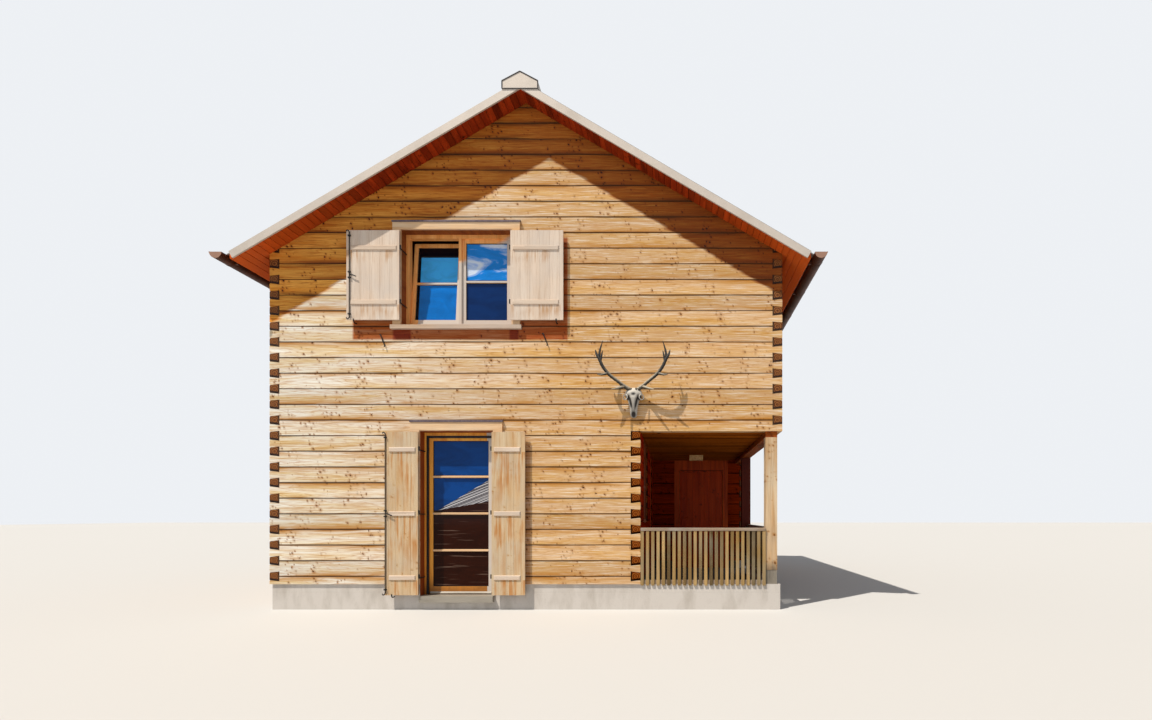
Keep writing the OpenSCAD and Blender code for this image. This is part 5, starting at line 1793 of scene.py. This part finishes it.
    def make_hooks(self) -> None:
        """Builds the shutters' stays and the small catches below them, all on the wall."""
        wall = self.wall_y
        parts = []
        for x, z in ((-2.058, 3.905), (0.253, 3.92)):
            path = eased(((x - 0.02, wall - 0.002, z + 0.01), (x, wall - 0.022, z),
                          (x + 0.025, wall - 0.02, z - 0.07), (x + 0.057, wall - 0.022, z - 0.15),
                          (x + 0.05, wall - 0.03, z - 0.165)), 5)
            parts.append(tube(path, 0.0075, 8))
        low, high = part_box("upper_shutters")
        door_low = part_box("shutter_left")[0]
        for x, z in ((low.x + 0.1, low.z), (high.x - 0.1, low.z), (door_low.x + 0.1, door_low.z)):
            parts.append(tube(eased(((x, wall - 0.001, z - 0.03), (x, wall - 0.05, z - 0.032),
                                     (x, wall - 0.075, z - 0.02), (x, wall - 0.085, z + 0.015)),
                                    4), 0.008, 8))
        make("shutter_stays", joined(parts), IRON)


@dataclass
class Porch:
    """Corner porch: railings, posts, beam, ceiling boards, lamp and plank doors.

    Attributes:
        plank_in: Distance of the planks from the entrance door's edges.
        rail_back, rail_nose: How far a hand rail reaches behind and in front of the slats.
        foot, foot_gap: Size of the rail at the slats' foot, and its gap above the plinth.
    """

    ceiling_pitch: float = 0.125
    ceiling_gap: float = 0.005
    ceiling_t: float = 0.014
    planks: int = 7
    plank_joint: float = 0.006
    plank_t: float = 0.012
    plank_in: float = 0.03
    rail_h: float = 0.045
    rail_back: float = 0.066
    rail_nose: float = 0.006
    slat_w: float = 0.046
    slat_t: float = 0.022
    slat_pitch: float = 0.0755
    foot: float = 0.06
    foot_gap: float = 0.015

    def build(self) -> None:
        """Dresses the CAD pieces and builds the boards of ceiling and doors."""
        POST_WOOD.dress("porch_posts")
        BASE_STONE.dress("post_bases")
        BEAM_WOOD.dress("porch_beam")
        DOOR_WOOD.dress("store_door", "entrance_door")
        ENTRANCE_WOOD.dress("entrance_frame")
        OPAL.dress("porch_lamp")
        self.make_railings()
        self.make_ceiling()
        self.make_doors()

    def make_railings(self) -> None:
        """Builds the railing in front and the one at the side, slat by slat."""
        low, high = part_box("porch_rails")
        post_low, post_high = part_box("porch_posts")
        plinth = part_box("post_bases")[0].z
        side_x = high.x - self.rail_nose
        front_y = low.y + self.rail_nose
        start = low.x
        depth = post_high.x - post_low.x
        turned = np.array([(0, 1, 0), (-1, 0, 0), (0, 0, 1)], float)
        slats, tops = [], []
        for length, foot_z, turn, place in (
                (post_low.x - start, low.z, np.eye(3), (start, front_y, 0)),
                (high.y - post_low.y - depth, plinth + self.foot_gap, turned,
                 (side_x, post_low.y + depth, 0))):
            count = int((length - self.slat_w) / self.slat_pitch) + 1
            first = (length - (count - 1) * self.slat_pitch - self.slat_w) / 2
            x = first + np.arange(count) * self.slat_pitch
            under = high.z - self.rail_h
            slats.append(boxes(columns(x, 0, foot_z),
                               columns(x + self.slat_w, self.slat_t, under),
                               7.0).moved(turn, place))
            tops.append(boxes(spots((0, -self.rail_nose, under), (0, self.slat_t, plinth)),
                              spots((length, self.rail_back, high.z),
                                    (length, self.slat_t + self.foot, plinth + self.foot)),
                              20.0).moved(turn, place))
        make("railing_slats", joined(slats), RAIL_WOOD, replaces=("porch_rails",),
             bevel=0.003)
        make("railing_bars", joined(tops), RAIL_TOP_WOOD, bevel=0.004)

    def make_ceiling(self) -> None:
        """Builds ceiling boards that run across the porch."""
        low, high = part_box("porch_floor")
        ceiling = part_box("upper_floor")[0].z
        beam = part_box("porch_beam")[0].x
        y = np.arange(low.y + 0.01, high.y - 0.03, self.ceiling_pitch)
        lows = columns(low.x + 0.026, y, ceiling - self.ceiling_t)
        highs = columns(beam - 0.002, y + self.ceiling_pitch - self.ceiling_gap, ceiling - 0.0005)
        highs[-1, 1] = min(highs[-1, 1], high.y - 0.03)
        make("porch_ceiling_boards", boxes(lows, highs), CEILING_WOOD,
             bevel=0.003)

    def make_doors(self) -> None:
        """Builds upright planks on the entrance door's face."""
        low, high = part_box("entrance_door")
        points = corners("entrance_door")
        face = points[points[:, 2] < low.z + 0.001][:, 1].min()
        edges = np.linspace(low.x + self.plank_in, high.x - self.plank_in, self.planks + 1)
        lows = columns(edges[:-1], face - self.plank_t, low.z + self.plank_in)
        highs = columns(edges[1:] - self.plank_joint, face, high.z - self.plank_in)
        make("entrance_planks", boxes(lows, highs, 50), DOOR_WOOD,
             "entrance_door", bevel=0.003)


@dataclass
class OtherSides:
    """Windows, glass and slatted screens of the left, right and back sides."""

    def build(self) -> None:
        """Dresses the CAD pieces."""
        SIDE_JOINERY.dress("side_windows")
        GLASS.dress("side_glass")
        RAIL_WOOD.dress("slat_screens")


@dataclass
class Trophy:
    """Deer skull with antlers on the gable.

    Attributes:
        x, low: Place of its middle, and height of the nose bone's tip.
        length: Length of the skull; the antlers' points are in hundredths of it.
        wall_y: Face of the wall.
        stout: How much thicker the antlers are drawn than their bare core.
        beam, tines: Places and radii along the right antler's main stem and its tines.
    """

    x: float = 1.537
    low: float = 2.727
    length: float = 0.42
    wall_y: float = -4.2
    stout: float = 1.35
    beam: Sequence[Sequence[float]] = (
        (16, -17, 95, 5.6), (33, -26, 105, 4.6), (54, -40, 119, 4.3), (78, -51, 136, 4.2),
        (98, -56, 160, 4.0), (110, -57, 186, 3.8), (119, -56, 202, 3.0), (123, -55, 216, 0.9))
    tines: Sequence[Sequence[Sequence[float]]] = (
        ((111, -57, 188, 3.4), (108, -56, 214, 2.4), (99, -53, 246, 0.8)),
        ((106, -57, 178, 2.9), (102, -56, 200, 2.1), (99, -55, 214, 0.8)),
        ((30, -25, 103, 3.8), (52, -44, 92, 2.8), (70, -60, 86, 0.8)),
        ((82, -52, 140, 3.4), (102, -62, 133, 2.4), (116, -68, 133, 0.8)))

    def build(self) -> None:
        """Builds the skull and the antlers in place of the CAD solid."""
        place = (self.x, self.wall_y, self.low)
        unit = np.eye(3) * self.length / 100
        make("skull_bone", self.skull().moved(unit, place), BONE,
             replaces=("deer_skull",), smooth=True)
        make("antler_pair", self.antlers().moved(unit, place), ANTLER, smooth=True)

    def skull(self) -> Shape:
        """Builds rings of ellipses from nose to crown, pushed in at eyes and nose opening.

        Returns:
            The skull in hundredths of its length.
        """
        rows = eased(((0, 4, 3, -7), (5, 10, 5, -9), (14, 12, 7, -11), (26, 13, 8, -13),
                      (40, 15, 11, -14), (54, 19, 13, -15), (66, 26, 14, -15),
                      (76, 29, 14, -15), (87, 27, 13, -13), (95, 20, 10, -11),
                      (100, 8, 5, -9)), 5)
        angle = np.linspace(0, 2 * np.pi, 48, endpoint=False)[None, :]
        z, wide, deep, mid = (rows[:, k][:, None] for k in range(4))
        x = wide * np.sin(angle)
        y = mid - deep * np.cos(angle)
        z = z + 0 * angle
        near = y < mid
        eye = np.exp(-(((np.abs(x) - 21) / 6) ** 2 + ((z - 66) / 7) ** 2)) * near
        nose = np.exp(-((x / 6) ** 2 + ((z - 10) / 8) ** 2)) * near
        bridge = 3 + 0.22 * (z - 20)
        cheek = np.exp(-(((np.abs(x) - bridge) / 3.5) ** 2 + ((z - 50) / 22) ** 2)) * near
        brow = np.exp(-((x / 8) ** 2 + ((z - 77) / 5) ** 2)) * near
        y = np.minimum(y + 10 * eye + 6 * nose + 3 * cheek + 3 * brow, 0)
        points = np.stack([x, y, z], axis=-1)
        shape = grid(points, around=True)
        # Painted shade: darker in the eye sockets, the nose opening, the creases beside the nose
        # bone and the dent at the brow; a little darker below the eyes.
        tone = 1.4 * eye + 1.3 * nose + 0.9 * cheek + brow + 0.2 * (z < 64)
        bones = Shape(shape.points, shape.faces, np.clip(tone, 0, 1).ravel())
        turn = np.linspace(0, 2 * np.pi, 17)
        rim = columns(27 + 7 * np.cos(turn), -24 + 6 * np.cos(turn), 67 + 9 * np.sin(turn))
        ring = tube(rim, 1.9, 8, tone=0.1)
        return joined([bones, ring, mirror_x(ring)])

    def antlers(self) -> Shape:
        """Builds both antlers: a curved main stem with a burr at its foot, and its tines.

        Returns:
            The antlers in hundredths of the skull's length.
        """
        parts = []
        for rows in (self.beam, *self.tines):
            path = eased(rows, 7)
            ripple = 1 + 0.07 * np.sin(np.arange(len(path)) * 2.1)
            branch = tube(path[:, :3], path[:, 3] * ripple * self.stout, 12)
            # Darker towards the tops, with painted shade on each stem's underside.
            upper = np.clip((branch.points[:, 2] - 118) / 40, 0, 1)
            under = np.clip((path[:, 2].repeat(12) - branch.points[:, 2]) / 4, -0.3, 0.55)
            tone = 0.16 + 0.65 * upper + (1 - 0.6 * upper) * under
            parts.append(Shape(branch.points, branch.faces, np.clip(tone, 0, 0.95)))
        burr = eased(((8, -16, 91, 6.2), (10.5, -17, 92.6, 7.6), (13, -18, 94, 6.4)), 3)
        parts.append(tube(burr[:, :3], burr[:, 3], 14, tone=0.6))
        one = joined(parts)
        return joined([one, mirror_x(one)])


@dataclass
class Studio:
    """Camera, soft lights, pale floor and pale surroundings.

    Attributes:
        camera, lens: Place of the camera, and focal length for a sensor 36 mm wide.
        shift: Shift of the frame in parts of its width.
        sun_way, sun_angle: Direction in which the key light travels, and width in degrees.
        sky_power, back_power: Strength of the surroundings' light, and their look.
        floor_tones: The floor's colour for its light, and as the camera sees it.
    """

    camera: tuple[float, float, float] = (2.136, -12.4, 1.35)
    lens: float = 18.0
    shift: tuple[float, float] = (-0.0868, 0.1345)
    sun_way: tuple[float, float, float] = (1.03, 1.0, -2.4)
    sun_power: float = 4.1
    sun_angle: float = 0.7
    sun_colour: str = "FFF6E8"
    fill_way: tuple[float, float, float] = (0.25, 1.0, -0.35)
    fill_power: float = 0.35
    fill_angle: float = 60.0
    fill_colour: str = "F2F6FF"
    sky: str = "F4F7FB"
    sky_power: float = 0.25
    back_power: float = 0.94
    floor_half: float = 90.0
    floor_tones: tuple[str, str] = ("BCBCBC", "CFCFCF")

    def build(self) -> None:
        """Sets up the whole studio."""
        scene = bpy.context.scene
        scene.view_settings.view_transform = "Standard"
        self.make_camera(scene)
        self.make_floor()
        self.make_light("key", self.sun_way, self.sun_power, self.sun_angle, self.sun_colour)
        self.make_light("fill", self.fill_way, self.fill_power, self.fill_angle, self.fill_colour)
        self.make_world(scene)

    def make_camera(self, scene: bpy.types.Scene) -> None:
        """Places a level camera that looks square at the gable.

        Args:
            scene: Scene that takes it.
        """
        data = bpy.data.cameras.new("camera")
        data.sensor_width = 36.0
        data.lens = self.lens
        data.shift_x, data.shift_y = self.shift
        eye = bpy.data.objects.new("camera", data)
        eye.location = self.camera
        eye.rotation_euler = (math.pi / 2, 0, 0)
        scene.collection.objects.link(eye)
        scene.camera = eye

    def make_light(self, name: str, way: Sequence[float], power: float, angle: float,
                   colour: str) -> None:
        """Adds a sun lamp that shines along a direction.

        Args:
            name: Name of the lamp.
            way: Direction in which its light travels.
            power: Its strength.
            angle: Its width in degrees, which softens the shadows.
            colour: Its sRGB colour.
        """
        data = bpy.data.lights.new(name, "SUN")
        data.energy = power
        data.angle = math.radians(angle)
        data.color = linear(colour)[:3]
        lamp = bpy.data.objects.new(name, data)
        side = np.array(way) / np.linalg.norm(way)
        pitch, turn = math.acos(-side[2]), math.atan2(-side[0], side[1])
        lamp.rotation_euler = (pitch, 0, turn)
        bpy.context.scene.collection.objects.link(lamp)

    def make_floor(self) -> None:
        """Lays a wide pale floor under the house."""
        far = self.floor_half
        points = np.array([[(-far, -far, 0), (far, -far, 0)], [(-far, far, 0), (far, far, 0)]])
        mesh = bpy.data.meshes.new("studio_floor")
        mesh.from_pydata(points.reshape(-1, 3).tolist(), [], [(0, 1, 3, 2)])
        made = bpy.data.materials.new("studio_floor")
        made.use_nodes = True
        shader = made.node_tree.nodes["Principled BSDF"]
        seen = add(made.node_tree, "LightPath").outputs["Is Camera Ray"]
        tone = add(made.node_tree, "Mix RGBA", {0: seen, 6: self.floor_tones[0],
                                                7: self.floor_tones[1]})
        feed(shader, {"Base Color": tone, "Roughness": 0.9})
        mesh.materials.append(made)
        floor = bpy.data.objects.new("studio_floor", mesh)
        bpy.context.scene.collection.objects.link(floor)

    def make_world(self, scene: bpy.types.Scene) -> None:
        """Surrounds the house with even pale light and a paler view for the camera.

        Args:
            scene: Scene that takes the surroundings.
        """
        world = bpy.data.worlds.new("studio")
        world.use_nodes = True
        tree = world.node_tree
        path = add(tree, "LightPath")
        seen = add(tree, "Math MAXIMUM", [path.outputs["Is Camera Ray"],
                                          path.outputs["Is Glossy Ray"]])
        seen = add(tree, "Math MAXIMUM", [seen, path.outputs["Is Transmission Ray"]])
        power = add(tree, "MapRange", {0: seen, 3: self.sky_power, 4: self.back_power})
        feed(tree.nodes["Background"], {"Color": self.sky, "Strength": power})
        scene.world = world


def main() -> None:
    """Builds the studio and each sub-assembly in order."""
    for part in (Studio(), LogHouse(), Roof(), FrontOpenings(), Porch(), OtherSides(), Trophy()):
        part.build()
        log.info("%s done", type(part).__name__)


if __name__ == "__main__":
    main()
